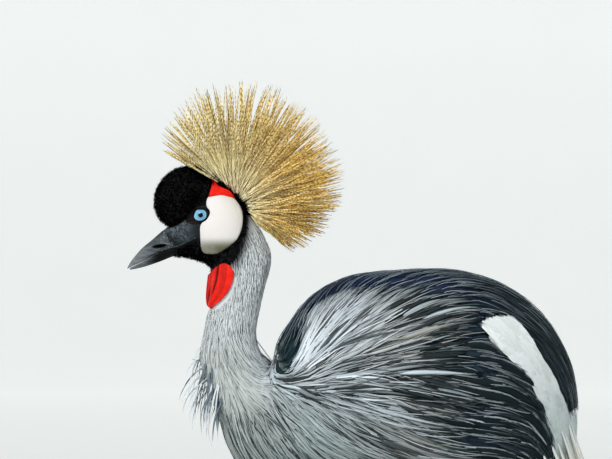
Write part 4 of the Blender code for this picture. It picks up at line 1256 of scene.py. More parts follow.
def makeVelvet():
    draw = np.random.default_rng(velvet["seed"])
    count = int(velvet["count"] * (1))
    mesh = skin.data
    mesh.calc_loop_triangles()
    tri = np.empty(len(mesh.loop_triangles) * 3, np.int32)
    mesh.loop_triangles.foreach_get("vertices", tri)
    tri = tri.reshape(-1, 3)
    co = corners(skin)
    smooth = np.empty(len(co) * 3)
    mesh.vertex_normals.foreach_get("vector", smooth)
    smooth = smooth.reshape(-1, 3)
    a, b, c = (co[tri[:, k]] for k in range(3))
    middle = (a + b + c) / 3
    area = np.linalg.norm(np.cross(b - a, c - a), axis=1)
    hood = insideBy(middle, "hood") > 1 * mm
    area = area * (hood & ~featherless(middle) & (middle[:, 2] > 0.60))
    chosen = draw.choice(len(area), count, p=area / area.sum())
    r1, r2 = np.sqrt(draw.random(count))[:, None], draw.random(count)[:, None]
    mixed = (1 - r1, r1 * (1 - r2), r1 * r2)
    place = sum(m * co[tri[chosen, k]] for k, m in enumerate(mixed))
    normal = unit(sum(m * smooth[tri[chosen, k]] for k, m in enumerate(mixed)))
    # on the cushion the velvet stands up; on cheeks, chin and nape it lies back and down
    cushion = ease(place[:, 2] - 0.35 * (place[:, 0] + 0.2), 0.700, 0.716)[:, None]
    back = np.array([0.5, 0, -0.85])
    curl = draw.normal(size=(count, 3)) * 0.33
    way = unit(normal * (0.35 + 0.75 * cushion) + back * (0.95 - 0.8 * cushion) + curl)
    length = (blendTo(*velvet["length"], draw.random(count)) * mm)[:, None]
    # taller tufts stand round the foot of the crest
    out = (place[:, 0] + 0.191) * 0.614 + (place[:, 2] - 0.746) * 0.789
    fringe = ease(out, -13 * mm, -6 * mm)[:, None] * ease(place[:, 0], -0.225, -0.214)[:, None]
    fringe = fringe * ease(np.abs(place[:, 1]), 2 * mm, 6 * mm)[:, None]
    way = unit(blendTo(way, normal * 0.5 + np.array([0.55, 0, 0.75]) + curl * 0.5, fringe))
    length = length * (1 + 1.5 * fringe)
    t = np.linspace(0, 1, velvet["points"])[None, :, None]
    bend = unit(curl + back * 0.3) * length * 0.35
    path = (place - normal * 0.0004)[:, None] + way[:, None] * length[:, None] * t + bend[:, None] * t**2
    normals = np.repeat(unit(np.cross(way, unit(np.cross(way, normal) + 1e-6)))[:, None], velvet["points"], 1)
    half = (blendTo(*velvet["half"], draw.random(count)) * mm)[:, None] * np.array([[1.0, 1.0, 0.75, 0]])
    away = place - np.array([-0.2, 0, 0.70])
    azimuth = np.arctan2(away[:, 1], away[:, 0]) / math.tau + 0.5
    polar = np.arccos(np.clip(unit(away)[:, 2], -1, 1)) / math.pi
    black = np.repeat(tones["black"][None], count, 0)
    coat = {"path": path, "normal": normals, "half": half, "rise": half * 0.8, "centre": (black, black),
            "edging": (black, black), "chance": draw.random(count), "unwrap": np.stack([azimuth, polar], -1)}
    piece = growMesh("velvetTufts", coat)
    settle(piece, finishes["velvet"], "velvet_black")


makeVelvet()
print("velvet grown")


# crest of stiff golden bristles

crest = {
    "count": 1080, "points": 27, "centre": (-166, 0, 727), "spread": 50, "half": (0.5, 0.85), "thick": 0.45,
    "sway": 0.8, "angles": (-47, -26, -9, 4, 13, 31, 51, 68, 74, 96, 111, 121, 140, 152),
    "reach": (90, 110, 118, 122, 124, 121, 122, 125, 125, 119, 119, 111, 100, 84),
    "crowd": (0.9, 1.5, 1.6, 1.6, 1.6, 1.5, 1.3, 1.0, 0.85, 0.7, 0.6, 0.55, 0.5, 0.4),
    "sprays": 42, "spraysFrom": 48, "spraysOver": 105, "frontFrom": 51, "seed": 12,
}


def makeCrest():
    shape = crest
    draw = np.random.default_rng(shape["seed"])
    count, points = int(shape["count"] * (1)), shape["points"]
    fine = np.linspace(shape["angles"][0], shape["angles"][-1], 400)
    crowd = np.cumsum(np.interp(fine, shape["angles"], shape["crowd"]))
    angle = np.interp(draw.random(count) * crowd[-1], crowd, fine)
    # in front and on top the bristles stand in loose sprays with gaps between
    sprays = np.sort(draw.random(shape["sprays"])) * shape["spraysOver"] + shape["spraysFrom"]
    nearest = sprays[np.abs(angle[:, None] - sprays).argmin(1)]
    angle = np.where(angle > 52, blendTo(angle, nearest, 0.42 * ease(angle, 52, 85)), angle)
    aside = draw.random(count) * 2 - 1
    aside = np.sign(aside) * np.abs(aside) ** 1.1
    tilt, lean = np.radians(angle), np.radians(aside * shape["spread"] * (1 - 0.45 * ease(angle, 85, 115)))
    way = np.stack([np.cos(tilt) * np.cos(lean), -np.sin(lean), np.sin(tilt) * np.cos(lean)], -1)
    reach = np.interp(angle, shape["angles"], shape["reach"]) * mm * (1 - 0.16 * draw.random(count) ** 1.6)
    share = 1 - np.clip((angle + 47) / 190, 0, 1)
    rootU = np.clip(4.0 + 1.6 * share + 0.12 * draw.normal(size=count), 3.9, 5.7)
    root, along, around, normal = skinFrame(headRows, rootU,
                                            np.radians(aside * 15 + draw.normal(size=count) * 2))
    root = root - normal * 0.001
    tip = np.array(shape["centre"]) * mm + way * reach[:, None]
    t = np.linspace(0, 1, points)[None, :, None]
    bow = unit(draw.normal(size=(count, 3))) * (0.0022 + 0.0022 * draw.random((count, 1)))
    path = root[:, None] + (tip - root)[:, None] * t + bow[:, None] * np.sin(t * math.pi)
    sideways = unit(np.cross(way, np.array([0.2, 1, 0.1])))
    other = np.cross(way, sideways)
    # the ribbon turns to and fro, its flat face mostly outwards
    rounds = draw.random((count, 1)) * 6.28
    rounds = rounds + np.linspace(0, 1, points)[None] * (30 + 10 * draw.random((count, 1)))
    twist = np.where(aside < 0, 0, math.pi)[:, None] + math.pi / 2 + shape["sway"] * np.sin(rounds)
    normals = sideways[:, None] * np.cos(twist)[..., None] + other[:, None] * np.sin(twist)[..., None]
    half = (blendTo(*shape["half"], draw.random(count)) * mm)[:, None]
    half = half * np.interp(np.linspace(0, 1, points), (0, 0.2, 0.8, 1), (0.9, 1, 0.85, 0.25))[None]
    chance = draw.random(count)
    golden = np.clip(ease(angle, 100, 25) * (0.5 + 0.5 * draw.random(count)), 0, 1)
    pale = toneMix("cream", "bristleGold", golden * 0.85)
    pale = pale * (0.9 + 0.1 * jitter(draw, count, 3.0))
    brown = toneMix("bristleBrown", tones["bristleGold"] * 0.6, golden * 0.55)
    brown = brown * jitter(draw, count, 0.25)
    whitish = np.array([[1.0, 0.95, 0.66]]) * np.ones((count, 1))
    unwrap = np.stack([rootU / 6, aside * 0.4 + 0.5], -1)
    inFront = angle > shape["frontFrom"]
    for name, part in (("crownBristles_front", inFront), ("crownBristles_rear", ~inFront)):
        coat = {"path": path[part], "normal": normals[part], "half": half[part],
                "rise": np.full(half[part].shape, shape["thick"] * mm), "centre": (whitish[part], pale[part]),
                "edging": (brown[part], brown[part]), "chance": chance[part], "fade": 0.8,
                "unwrap": unwrap[part]}
        settle(growMesh(name, coat), finishes["bristle"], "crest_gold", "crest")


makeCrest()
print("crest grown")


# neck: fine short feathers, black behind the cheek, pale grey below

neckCoat = {
    "count": 6900, "span": (0.0, 5.8), "around": (-180, 180), "points": 6, "length": (12, 19),
    "half": (0.55, 1.05), "layer": (-1.3, 0.0), "arch": (-1.6, 0.1, 0.3, -0.2), "stray": 4, "crown": 0.3,
    "gather": (7, 0.55, 6), "seed": 21, "alike": 0.5,
    "size": lambda place, u: np.interp(u, (0, 1, 2.5, 4, 5.8), (0.62, 0.8, 1.1, 2.0, 2.9)),
    "broad": lambda place, u: np.interp(u, (0, 2.5, 3.6, 5.8), (0.9, 1.0, 1.4, 2.2)),
}


def neckTone(place, picks):
    px, py = inPhoto(place)
    nape = ease(px - 0.12 * (250 - py), 258, 268) * (1 - ease(py, 300, 345))
    low = ease(py, 335, 370)
    dark = np.clip(nape * (picks[:, 0] > 0.5) * 0.5 + (picks[:, 0] > 0.93) * 0.2 + (
        picks[:, 0] > 0.62) * low * 0.8, 0, 1)
    tone = toneMix("neck", "neckDark", dark)
    tone = toneMix(tone, breastTone(px, py), ease(py, 320, 370) * 0.8)
    tone = toneMix(tone, "black", hoodShare(place)) * vary(picks[:, 1], 0.14)
    upper = 1 - ease(py, 325, 375)[:, None]
    return tone, tone * blendTo(0.6 + 0.28 * upper, 0.92 + 0.08 * upper, picks[:, 2:3])


def onNeck(place, u, a):
    throat = (insideBy(place, "hood") > -1 * mm) & (np.cos(a) < -0.2) & (u < 0.5)
    wattleHere = insideBy(place, "wattle") > -2.5 * mm
    return ~throat & ~featherless(place) & ~wattleHere


def pastNotch(place, slack):
    # the back starts here, behind the foot of the neck
    px, py = inPhoto(place)
    return (px > 267 + 0.45 * (py - 340)) & (py > 325) & (py < 369)


growCoat("neckFeathers", neckCoat, neckTone, trim=pastNotch, keep=onNeck, slot="plume_grey")
print("neck feathered")


# body

def pastSilver(place, slack):
    slack = slack * (0.15 + 0.85 * ease(photoX(place[..., 0]), 330, 430))
    return (insideBy(place, "silver") + slack < 0) | (insideBy(place, "whiteBand") > 0)


def pastDark(place, slack):
    return insideBy(place, "whiteBand") + slack > 0


def onSilver(place, u, a):
    px, py = inPhoto(place)
    neckBack = (px < 280) & (px > 244) & (py < 367)
    return (insideBy(place, "silver") > 0) & (insideBy(place, "whiteBand") < 0) & ~neckBack


def bandLie(place, turn):
    # white coverts and the dark ones behind them run down along the band
    steep = np.interp(photoY(place[:, 2]), (315, 340, 370, 400, 430, 470, 560),
                      (-34, -48, -56, -63, -70, -78, -84))
    return profileWay(np.radians(steep) + turn)


downCoat = {
    "count": 4600, "span": (4.6, 17.9), "around": (-180, 180), "points": 5, "length": (26, 40),
    "half": (4.2, 6.5), "layer": (-2.6, -1.2), "arch": (-2.0, -1.0, -0.4, -1.6), "stray": 9, "crown": 0.12,
    "seed": 31,
}


def downTone(place, picks):
    tone = underTone(place) * vary(picks[:, 0], 0.3)
    return tone, tone * 0.8


growCoat("downyUndercoat", downCoat, downTone, trim=pastDark,
         keep=lambda place, u, a: insideBy(place, "whiteBand") < 0)


def slimOnBreast(place, u):
    px, py = inPhoto(place)
    return 1 - 0.42 * ease(py, 365, 390) * (1 - ease(px, 300, 380))


plumeCoat = {
    "count": 1800, "span": (4.9, 17.0), "points": 12, "length": (66, 145), "half": (2.0, 4.0),
    "layer": (-2.4, 0.2), "arch": (-3.0, -0.4, 0.6, 0.2), "stray": 5, "crown": 0.32, "gather": (7, 0.78, 16),
    "sharp": 1.15, "alike": 0.85, "slack": (-14, 4), "widest": 0.42, "root": 0.25, "least": 0.25,
    "size": lambda place, u: np.interp(u, (4.9, 7, 13, 17), (0.75, 1, 1, 0.6)),
    "broad": slimOnBreast,
}


def fromCollar(place, u, a):
    # most of the long plumes spring from the foot of the neck
    px, py = inPhoto(place)
    away = np.hypot(px - 290, py - 372)
    return 0.4 + 1.6 * np.exp(-((away / 70) ** 2))


def plumeTone(place, picks):
    px, py = inPhoto(place)
    bright = np.exp(-(((px - 306) / 48) ** 2 + ((py - 348) / 32) ** 2))
    tone = toneMix("silver", "beige", ease(picks[:, 0], 0.4, 0.8) * ease(px, 300, 380))
    tone = toneMix(tone, "steel", (picks[:, 1] > 0.66) * 0.7 * ease(px, 290, 400))
    tone = toneMix(tone, "silverBright", np.clip(bright * 1.2, 0, 1))
    breast = ease(py - 0.25 * (px - 230), 365, 385) * (1 - ease(px, 360, 450))
    tone = toneMix(tone, breastTone(px, py), breast * 0.9)
    tone = toneMix(tone, toneMix("steel", "slate", 0.3), (1 - silverShare(place)) * 0.8)
    tone = tone * vary(picks[:, 2], 0.24) * (1 - 0.2 * ease(px, 320, 360) * (1 - ease(py, 300, 340)))[:, None]
    tone = tone * (1 - 0.32 * ease(px, 400, 470))[:, None]
    # dark plumes lie between the pale ones as painted shade in the gaps, more of them towards the wing; each
    # pale plume has a thin dark margin, painted shade as well
    gap = picks[:, 4] < (0.06 + 0.16 * ease(np.hypot(px - 300, py - 355), 30, 60)
                         + 0.46 * ease(px, 318, 425)) * (1 - 0.35 * breast)
    tone = toneMix(tone, "deep", gap * (0.95 - 0.25 * breast))
    edge = toneMix("deep", tone, 0.06 + 0.15 * breast + 0.45 * (picks[:, 3] > 0.7))
    return tone, edge


strandCoat = {
    "count": 1500, "span": (5.2, 17.2), "points": 7, "length": (46, 100), "half": (0.35, 0.7),
    "layer": (-0.6, 0.7), "arch": (-3.8, 0.2, 0.6, 0.2), "stray": 10, "crown": 0.7, "gather": (6, 0.5, 9),
    "sharp": 0.5, "least": 0.3, "slack": (-8, 9),
}


def strandTone(place, picks):
    px, py = inPhoto(place)
    tone = toneMix("silverBright", "beige", picks[:, 0] * (0.4 + 0.5 * ease(px, 320, 400)))
    tone = toneMix(tone, breastTone(px, py), 0.8 * ease(py, 368, 390) * (1 - ease(px, 330, 420)))
    # painted shade: some strands are near black, more towards the wing, as shade between the pale ones
    tone = toneMix(tone, "deep", (picks[:, 1] > 0.66 - 0.25 * ease(px, 330, 440)) * 0.92)
    tone = tone * (1 - 0.3 * ease(px, 390, 460))[:, None]
    tone = toneMix(tone, "steel", (1 - silverShare(place)) * 0.7) * vary(picks[:, 2], 0.2)
    return tone, tone * 0.7


sheafCoat = {
    **plumeCoat, "count": 460, "length": (30, 118), "half": (0.9, 2.0), "layer": (-1.0, 1.0), "root": 0.7,
    "arch": (-0.8, 0.9, 1.2, 0.5), "stray": 10, "gather": (6, 0.6, 9), "widest": 0.3, "slack": (-4, 3),
    "alike": 0.6,
}


def fromWhorl(place, u, a):
    px, py = inPhoto(place)
    return 1e-9 + np.exp(-(((px - 295) / 8) ** 2 + ((py - 366) / 4) ** 2))


def inSheaf(place, u, a):
    return (insideBy(place, "silver") > -2 * mm) & (photoY(place[:, 2]) < 375)


def sheafTone(place, picks):
    tone = toneMix("silverBright", "silver", ease(picks[:, 0], 0.3, 0.9)) * vary(picks[:, 2], 0.12)
    tone = toneMix(tone, "slate", (picks[:, 1] > 0.78) * 0.9)
    tone = tone * (0.72 + 0.28 * ease(photoY(place[:, 2]), 312, 345))[:, None]
    return tone, toneMix("slate", tone, 0.05 + 0.5 * (picks[:, 3] > 0.6))


plumeKinds = (
    ("sheafPlumes", sheafCoat, sheafTone, 45, fromWhorl, inSheaf),
    ("silverPlumes", plumeCoat, plumeTone, 41, fromCollar, onSilver),
    ("hairPlumes", strandCoat, strandTone, 51, fromCollar, onSilver),
)
for side in (left, right):
    around = (0, 180) if side == left else (-180, 0)
    for name, spec, tone, seed, weight, keep in plumeKinds:
        growCoat(sided(name, side), {**spec, "around": around, "seed": seed + side}, tone, weight=weight,
                 trim=pastSilver, keep=keep)
print("plumes grown")

mantleCoat = {
    "count": 3400, "span": (6.0, 17.9), "around": (-180, 180), "points": 7, "length": (34, 58),
    "half": (1.6, 3.0), "layer": (-2.2, -0.4), "arch": (-2.6, -0.4, 0.2, -0.3), "stray": 6, "crown": 0.25,
    "gather": (4, 0.4, 9), "seed": 61,
}


def darkTone(place, picks):
    tone = mantleTone(place) * vary(picks[:, 0], 0.35)
    edge = toneMix(tone, "slate", 0.3 * (picks[:, 1] > 0.5)) * vary(picks[:, 2], 0.3)
    return tone, edge


def onMantle(place, u, a):
    return (insideBy(place, "silver") < 6 * mm) & (insideBy(place, "whiteBand") < 0) & (
        photoX(place[:, 0]) > 262)


def mantleLie(place, turn):
    nearBand = ease(insideBy(place, "wedge"), -4 * mm, 8 * mm)[:, None]
    return blendTo(bodyLie(place, turn), bandLie(place, turn), nearBand)


growCoat("mantleFeathers", mantleCoat, darkTone, lie=mantleLie, trim=pastDark, keep=onMantle)

vaneCoat = {
    "count": 1700, "span": (9.0, 17.4), "around": (-172, 172), "points": 10, "length": (56, 96),
    "half": (4.0, 6.6), "layer": (-1.8, 0.2), "arch": (-3.2, -0.2, 0.5, 0.0), "stray": 4, "crown": 0.2,
    "widest": 0.55, "root": 0.5, "sharp": 0.55, "seed": 64, "slack": (0, 3), "least": 0.25,
}


def vaneTone(place, picks):
    # the long dark vanes below the wing's edge have a pale rim
    tone = toneMix("deep", "slate", picks[:, 0] * 0.12)
    rim = toneMix("steel", "silver", 0.4 + picks[:, 1] * 0.6) * vary(picks[:, 2], 0.4)
    return tone, rim


def picksAt(place, share):
    # a fixed coin for each place
    return (np.abs(np.sin(place[:, 0] * 91017.0 + place[:, 2] * 47129.0)) % 1) < share


def onVanes(place, u, a):
    px, py = inPhoto(place)
    return (px > 415) & (py > 326) & (px - 0.2 * (py - 330) < 545) & (insideBy(place, "whiteBand") < 0) & (
        insideBy(place, "wedge") < 0) & (picksAt(place, 0.3 + 0.3 * ease(px, 440, 480)))


growCoat("slateVanes", vaneCoat, vaneTone, lie=mantleLie, trim=pastDark, keep=onVanes, finish="rimmed")

fineCoat = {
    "count": 3000, "span": (6.0, 17.6), "around": (-150, 150), "points": 7, "length": (26, 62),
    "half": (0.28, 0.48), "layer": (-0.5, 0.4), "arch": (-3.8, 0.1, 0.7, 1.2), "stray": 10, "crown": 0.7,
    "gather": (5, 0.45, 8), "sharp": 0.5, "seed": 66,
}


def fineTone(place, picks):
    px, py = inPhoto(place)
    pale = toneMix("steel", "silver", 0.25 + picks[:, 0] * 0.75)
    behind = ease(insideBy(place, "wedge"), -6 * mm, 4 * mm)
    whorl = (1 - ease(px, 296, 312)) * ease(py, 318, 330)
    tone = toneMix(pale, "slate", np.clip(behind * 0.2 + ease(px, 430, 520) * 0.3 + whorl * 0.65, 0, 1))
    rim = np.maximum(ease(insideBy(place, "silver"), -20 * mm, -4 * mm), behind * (picks[:, 1] > 0.72) * 0.7)
    nearBack = 1 - ease(np.abs(place[:, 1]), 14 * mm, 44 * mm)
    tone = toneMix("slate", tone, 0.05 + 0.95 * rim)
    tone = toneMix(tone, toneMix("navy", "slate", 0.4),
                   nearBack * 0.9 * (1 - behind) * (1 - ease(px, 340, 400)))
    tuft = np.exp(-(((px - 298) / 8) ** 2 + ((py - 324) / 11) ** 2))
    return toneMix(tone, "silver", tuft * (picks[:, 3] > 0.3)), tone * 0.6


growCoat("fineMantleHairs", fineCoat, fineTone, lie=mantleLie, trim=pastDark, keep=onMantle)
print("mantle grown")

# white coverts and wings

wingShape = {
    "u": (12.7, 17.5), "top": (31, 26, 16, 12, 16), "low": (96, 108, 118, 122, 118),
}


def onBand(place, u, a):
    return insideBy(place, "whiteBand") > 0


covertCoat = {
    "count": 12000, "span": (11.0, 17.95), "around": (-175, 175), "points": 7, "length": (30, 56),
    "half": (2.8, 4.8), "layer": (-0.12, 0.12), "arch": (-0.5, 0.1, 0.25, 0.1), "stray": 2, "crown": 0.05,
    "sharp": 0.6, "widest": 0.5, "seed": 81, "least": 0.12,
}


def covertTone(place, picks):
    py = photoY(place[:, 2])
    low = ease(py, 335, 440)
    shade = np.clip((picks[:, 0] > 0.6) * 0.3 + low * 0.75, 0, 1)
    tone = toneMix("white", "whiteShade", shade) * vary(picks[:, 1], 0.04)
    tone = toneMix(tone, "gold", ease(py, 480, 510) * (picks[:, 2] > 0.5) * 0.6)
    return tone, tone


def pastBand(place, slack):
    return insideBy(place, "whiteBand") < -0.6 * mm


whiteDown = {**downCoat, "count": 3000, "span": (11.0, 17.95), "layer": (-1.9, -0.9), "seed": 33}
for name, spec in (("whiteDown", whiteDown), ("whiteCoverts", covertCoat)):
    pick(growCoat(name, spec, covertTone, lie=bandLie, keep=onBand, trim=pastBand, slot="covert_white"))
    # flat vanes, so that the band stays even
    bpy.ops.object.shade_flat()

# long loose plumes in front of the breast

breastCoat = {
    "rows": ((3.5, 5, 40, 30), (4.1, 8, 50, 36), (4.7, 11, 54, 42), (5.4, 13, 52, 50), (6.2, 12, 46, 52),
             (7.0, 9, 38, 46)),
    "points": 11, "lean": (0.05, 0.62), "half": (0.9, 2.6), "locks": 20, "seed": 71,
    "spikes": ((4.2, 172, 187, 374), (4.5, -170, 192, 360), (4.9, -176, 183, 391), (5.1, 166, 188, 398),
               (5.4, 176, 182.5, 403), (5.9, -172, 182, 414), (6.3, 168, 190, 421), (6.8, 174, 193, 430),
               (7.2, -174, 202, 437), (7.5, 178, 208.5, 434), (7.2, 171, 213, 447)),
}


def makeBreastPlumes():
    # long loose plumes that hang free in front of the breast, as in the solids but finer
    draw = np.random.default_rng(breastCoat["seed"])
    points = breastCoat["points"]
    u, a, long = (np.concatenate(v) for v in zip(*[
        (row + 0.2 * draw.normal(size=count), math.pi + np.radians(spread) * np.linspace(-1, 1, count),
         length * mm * (0.6 + 0.5 * draw.random(count)))
        for row, count, spread, length in breastCoat["rows"]]))
    count, long = len(u), long[:, None]
    root, along, around, normal = skinFrame(bodyRows, u, a)
    forward = unit(normal * np.array([1, 1, 0]))
    down = unit(np.stack([0.1 * draw.normal(size=count), 0 * a, -np.ones(count)], -1))
    lean = blendTo(*breastCoat["lean"], draw.random((count, 1)) ** 1.4) * (-normal[:, :1]).clip(0.3, 1)
    control = root + forward * long * lean * 0.85 + down * long * 0.28
    tip = root + forward * long * lean + down * long * np.sqrt(1 - lean**2)
    # plumes draw together in pointed locks
    heads = draw.permutation(count)[:breastCoat["locks"]]
    near = heads[np.linalg.norm(root[:, None] - root[heads], axis=-1).argmin(1)]
    tip = blendTo(tip, tip[near], 0.7 * draw.random((count, 1)))
    broad = blendTo(*breastCoat["half"], draw.random(count) ** 1.5)
    # the boldest of them curve out like claws, to the tips in the photograph
    spikes = np.array(breastCoat["spikes"], float)
    spikeRoot, _, _, spikeNormal = skinFrame(bodyRows, spikes[:, 0], np.radians(spikes[:, 1]))
    reach = np.array([spot(*s) for s in spikes[:, 2:]])
    reach = np.stack([reach[:, 0], spikeRoot[:, 1] * 1.6, reach[:, 1]], -1)
    bow = spikeRoot + (reach - spikeRoot) * 0.5 + np.array([-0.22, 0, 0.16]) * np.linalg.norm(
        reach - spikeRoot, axis=1, keepdims=True)
    root, normal, control, tip = (np.concatenate(v) for v in zip(
        (root, normal, control, tip), (spikeRoot, spikeNormal, bow, reach)))
    u, a = np.concatenate([u, spikes[:, 0]]), np.concatenate([a, np.radians(spikes[:, 1])])
    broad = np.concatenate([broad, np.full(len(spikes), 3.4)])
    count, near = len(u), np.concatenate([near, np.arange(count, count + len(spikes))])
    path, normals = swoop(root - normal * 2.5 * mm, control, tip, normal, normal, points)
    half = broad[:, None] * mm * taper(points, 0.45, 0.5, 0.9)[None]
    picks = blendTo(draw.random((count, 6)), draw.random((count, 6))[near], 0.6)
    # painted shade: about half the plumes are dark blue-green, as shaded plumes behind the lit ones; their
    # margins are painted dark as well
    tone = toneMix(toneMix("silver", "silverBright", picks[:, 0]), np.array([0.10, 0.15, 0.19]),
                   (picks[:, 1] > 0.45) * 0.9)
    tone[-len(spikes):] = toneMix("silverBright", "silver", draw.random(len(spikes)))
    coat = {"path": path, "normal": normals, "half": half, "rise": half * 0.35, "centre": (tone, tone),
            "edging": (tone * 0.2, tone * 0.3), "chance": picks[:, 2],
            "unwrap": unwrapAt(u, a)}
    settle(growMesh("breastPlumes", coat), finishes["feather"], "plume_grey")


makeBreastPlumes()


# flight feathers and golden plumes

stiff = {"points": 16, "taper": (0.6, 0.5, 0.55), "crown": 0.09, "finish": "vane", "slot": "quill_black"}
tiers = {
    "primaries": {**stiff, "count": 7, "t": 0.92, "v": (0.5, 0.9), "tip": ((240, 18, 232), (228, 48, 258)),
                  "lift": 1.2, "half": 9.5, "tone": "quill", "edge": "quill", "seed": 1},
    "tertials": {**stiff, "count": 12, "t": 0.9, "v": (0.56, 0.94), "tip": ((276, 19, 228), (213, 66, 302)),
                 "lift": 2.6, "half": 11.5, "tone": "chestnut", "edge": "chestnut", "seed": 2},
    "goldPlumes": {"count": 70, "t": 0.88, "v": (0.30, 0.96), "tip": ((262, 22, 292), (176, 82, 332)),
                   "lift": 4.0, "half": 3.0, "tone": "gold", "edge": "cream", "seed": 3, "points": 12,
                   "taper": (0.6, 0.3, 0.7), "crown": 0.22, "finish": "feather", "slot": "covert_white"},
}


def wingEdge(name, t):
    return np.interp(t, np.linspace(0, 1, 5), wingShape[name])


def makeTier(name, side):
    tier = tiers[name]
    draw = np.random.default_rng(tier["seed"] * 10 + side)
    loose = name == "goldPlumes"
    count, points = tier["count"], tier["points"]
    share = (np.arange(count) + 0.5) / count
    v = tier["v"][0] + (tier["v"][1] - tier["v"][0]) * share
    t = tier["t"] + (draw.random(count) * 0.3 - 0.22 if loose else 0 * share)
    u = wingShape["u"][0] + (wingShape["u"][1] - wingShape["u"][0]) * t
    a = side * np.radians(wingEdge("top", t) + (wingEdge("low", t) - wingEdge("top", t)) * v)
    root, along, around, normal = skinFrame(bodyRows, u, a)
    root = root + normal * ((-1.5 if loose else tier["lift"]) * mm + 0.0006 * draw.random((count, 1)))
    low, high = (np.array([x, -side * y, z]) * mm for x, y, z in tier["tip"])
    tip = blendTo(low[None], high[None], share[:, None])
    if loose:
        tip = blendTo(tip, root, (draw.random((count, 1)) * 0.4)) + draw.normal(size=(count, 3)) * 0.004
    long = np.linalg.norm(tip - root, axis=1, keepdims=True)
    control = root + (unit(along) * 0.25 + normal * 0.07) * long - np.array([0, 0, 0.16]) * long
    outward = np.stack([0.9 - 0.7 * share, -side * (0.45 + 0.55 * share), 0.25 + 0 * share], -1)
    path, normals = swoop(root, control, tip, normal, unit(outward), points)
    outline = taper(points, *tier["taper"])
    half = np.repeat(tier["half"] * mm * (0.85 + 0.3 * draw.random((count, 1))), points, 1) * outline
    tone = tones[tier["tone"]][None] * jitter(draw, count, 0.2)
    edge = tones[tier["edge"]][None] * jitter(draw, count, 0.2)
    rootTone = tone
    if loose:
        # the long plumes turn from white to gold
        tone = toneMix(tones["white"][None] * np.ones((count, 1)), tone, 0.3 + 0.7 * draw.random(count))
        rootTone = tones["white"][None] * jitter(draw, count, 0.05)
    coat = {"path": path, "normal": normals, "half": half, "rise": half * tier["crown"],
            "centre": (rootTone, tone), "edging": (rootTone * 0.9, edge), "chance": draw.random(count),
            "unwrap": unwrapAt(u, a)}
    piece = growMesh(sided(name, side), coat, vaneSection)
    nodes = (sided("wing", side),) if loose else ()
    settle(piece, finishes[tier["finish"]], tier["slot"], *nodes)


for side in (left, right):
    for name in tiers:
        makeTier(name, side)
print("wings feathered")


# tail

tail = {"count": 12, "length": 200, "half": 12, "fan": 0.1, "layer": 0.8, "points": 18}


def makeTail():
    count, points = tail["count"], tail["points"]
    axis, above = unit(rumpAxis), unit(np.array([0.987, 0, 0.16]))
    start = bodyRows[18, [0, 2]].mean(), bodyRows[18, [1, 3]].mean()
    order = np.arange(count)
    share = (order + 1) // 2 / (count // 2) * np.where(order % 2 == 1, 1, -1)
    root = np.array([start[0], 0, start[1]]) + axis * 8 * mm + np.outer(9 * share * mm, (0, 1, 0))
    root = root + np.outer((count / 2 - order) * tail["layer"] * mm, above)
    long = tail["length"] * mm * (1 - 0.08 * np.abs(share))
    tip = root + unit(axis + np.outer(tail["fan"] * share, (0, 1, 0))) * long[:, None]
    control = blendTo(root, tip, 0.45) + above * 6 * mm
    normal = np.repeat(above[None], count, 0)
    path, normals = swoop(root, control, tip, normal, normal, points)
    half = tail["half"] * mm * taper(points, 0.65, 0.45, 0.5)[None] * np.ones((count, 1))
    black = np.repeat(tones["quill"][None], count, 0)
    coat = {"path": path, "normal": normals, "half": half, "rise": half * 0.12, "centre": (black, black),
            "edging": (black * 1.5, black * 1.2), "chance": np.linspace(0, 1, count),
            "unwrap": np.stack([0.98 + 0 * share, 0.5 + 0.02 * share], -1)}
    piece = growMesh("tailFeathers", coat, vaneSection)
    settle(piece, finishes["vane"], "quill_black", "tail")


makeTail()
print("tail made")


# thighs

thighCoat = {
    "count": 1900, "span": (0.4, 3.9), "around": (-180, 180), "points": 6, "length": (20, 36),
    "half": (0.9, 1.9), "layer": (0.0, 2.4), "arch": (-1.6, 0.9, 1.2, 0.9), "stray": 11, "crown": 0.3,
    "gather": (5, 0.5, 7),
}


def downLie(place, turn):
    return profileWay(turn - math.pi / 2)


def thighTone(place, picks):
    tone = toneMix("breastLow", "steel", picks[:, 0]) * vary(picks[:, 1], 0.3)
    tone = toneMix(tone, "deep", (picks[:, 2] > 0.8) * 0.8)
    return tone, tone * 0.3


for side in (left, right):
    line, radii = skinShape["thighLine"], skinShape["thighRadii"]
    thighRows = mm * np.array([(x - r - 1, z, x + r + 1, z, x, z, r + 1)
                               for (x, y, z), r in zip(line, radii)])
    spec = {**thighCoat, "seed": 90 + side}
    growCoat(sided("thighFeathers", side), spec, thighTone, lie=downLie, rows=thighRows,
             shift=(0, -side * 41 * mm, 0))
print("thighs feathered")


# legs, toes and claws

legShape = {
    "shin": {"line": ((22, 42, 300), (22, 42, 284), (24.4, 43.8, 244), (26, 45, 226), (26, 45, 216),
                      (26, 45, 213.8)),
             "radii": (6.5, 7.8, 6.8, 8.6, 10.6, 10.4), "rows": 150},
    "tarsus": {"line": ((26, 45, 214.2), (26, 45, 210), (23.8, 45.1, 194), (15, 45.5, 114.5), (7.5, 45.8, 46),
                        (4, 46, 23), (4, 46, 14.8)),
               "radii": (10.4, 10.2, 6.6, 5.8, 6.4, 8.6, 9.4), "rows": 330},
}
toes = {
    "middle": {"turn": 0, "length": 86, "radius": 5.4},
    "inner": {"turn": 36, "length": 60, "radius": 5.0},
    "outer": {"turn": -33, "length": 66, "radius": 5.0},
    "hind": {"turn": 172, "length": 34, "radius": 4.6},
}
footShape = {"x": 4, "y": 46, "claw": 15, "flat": 0.7}


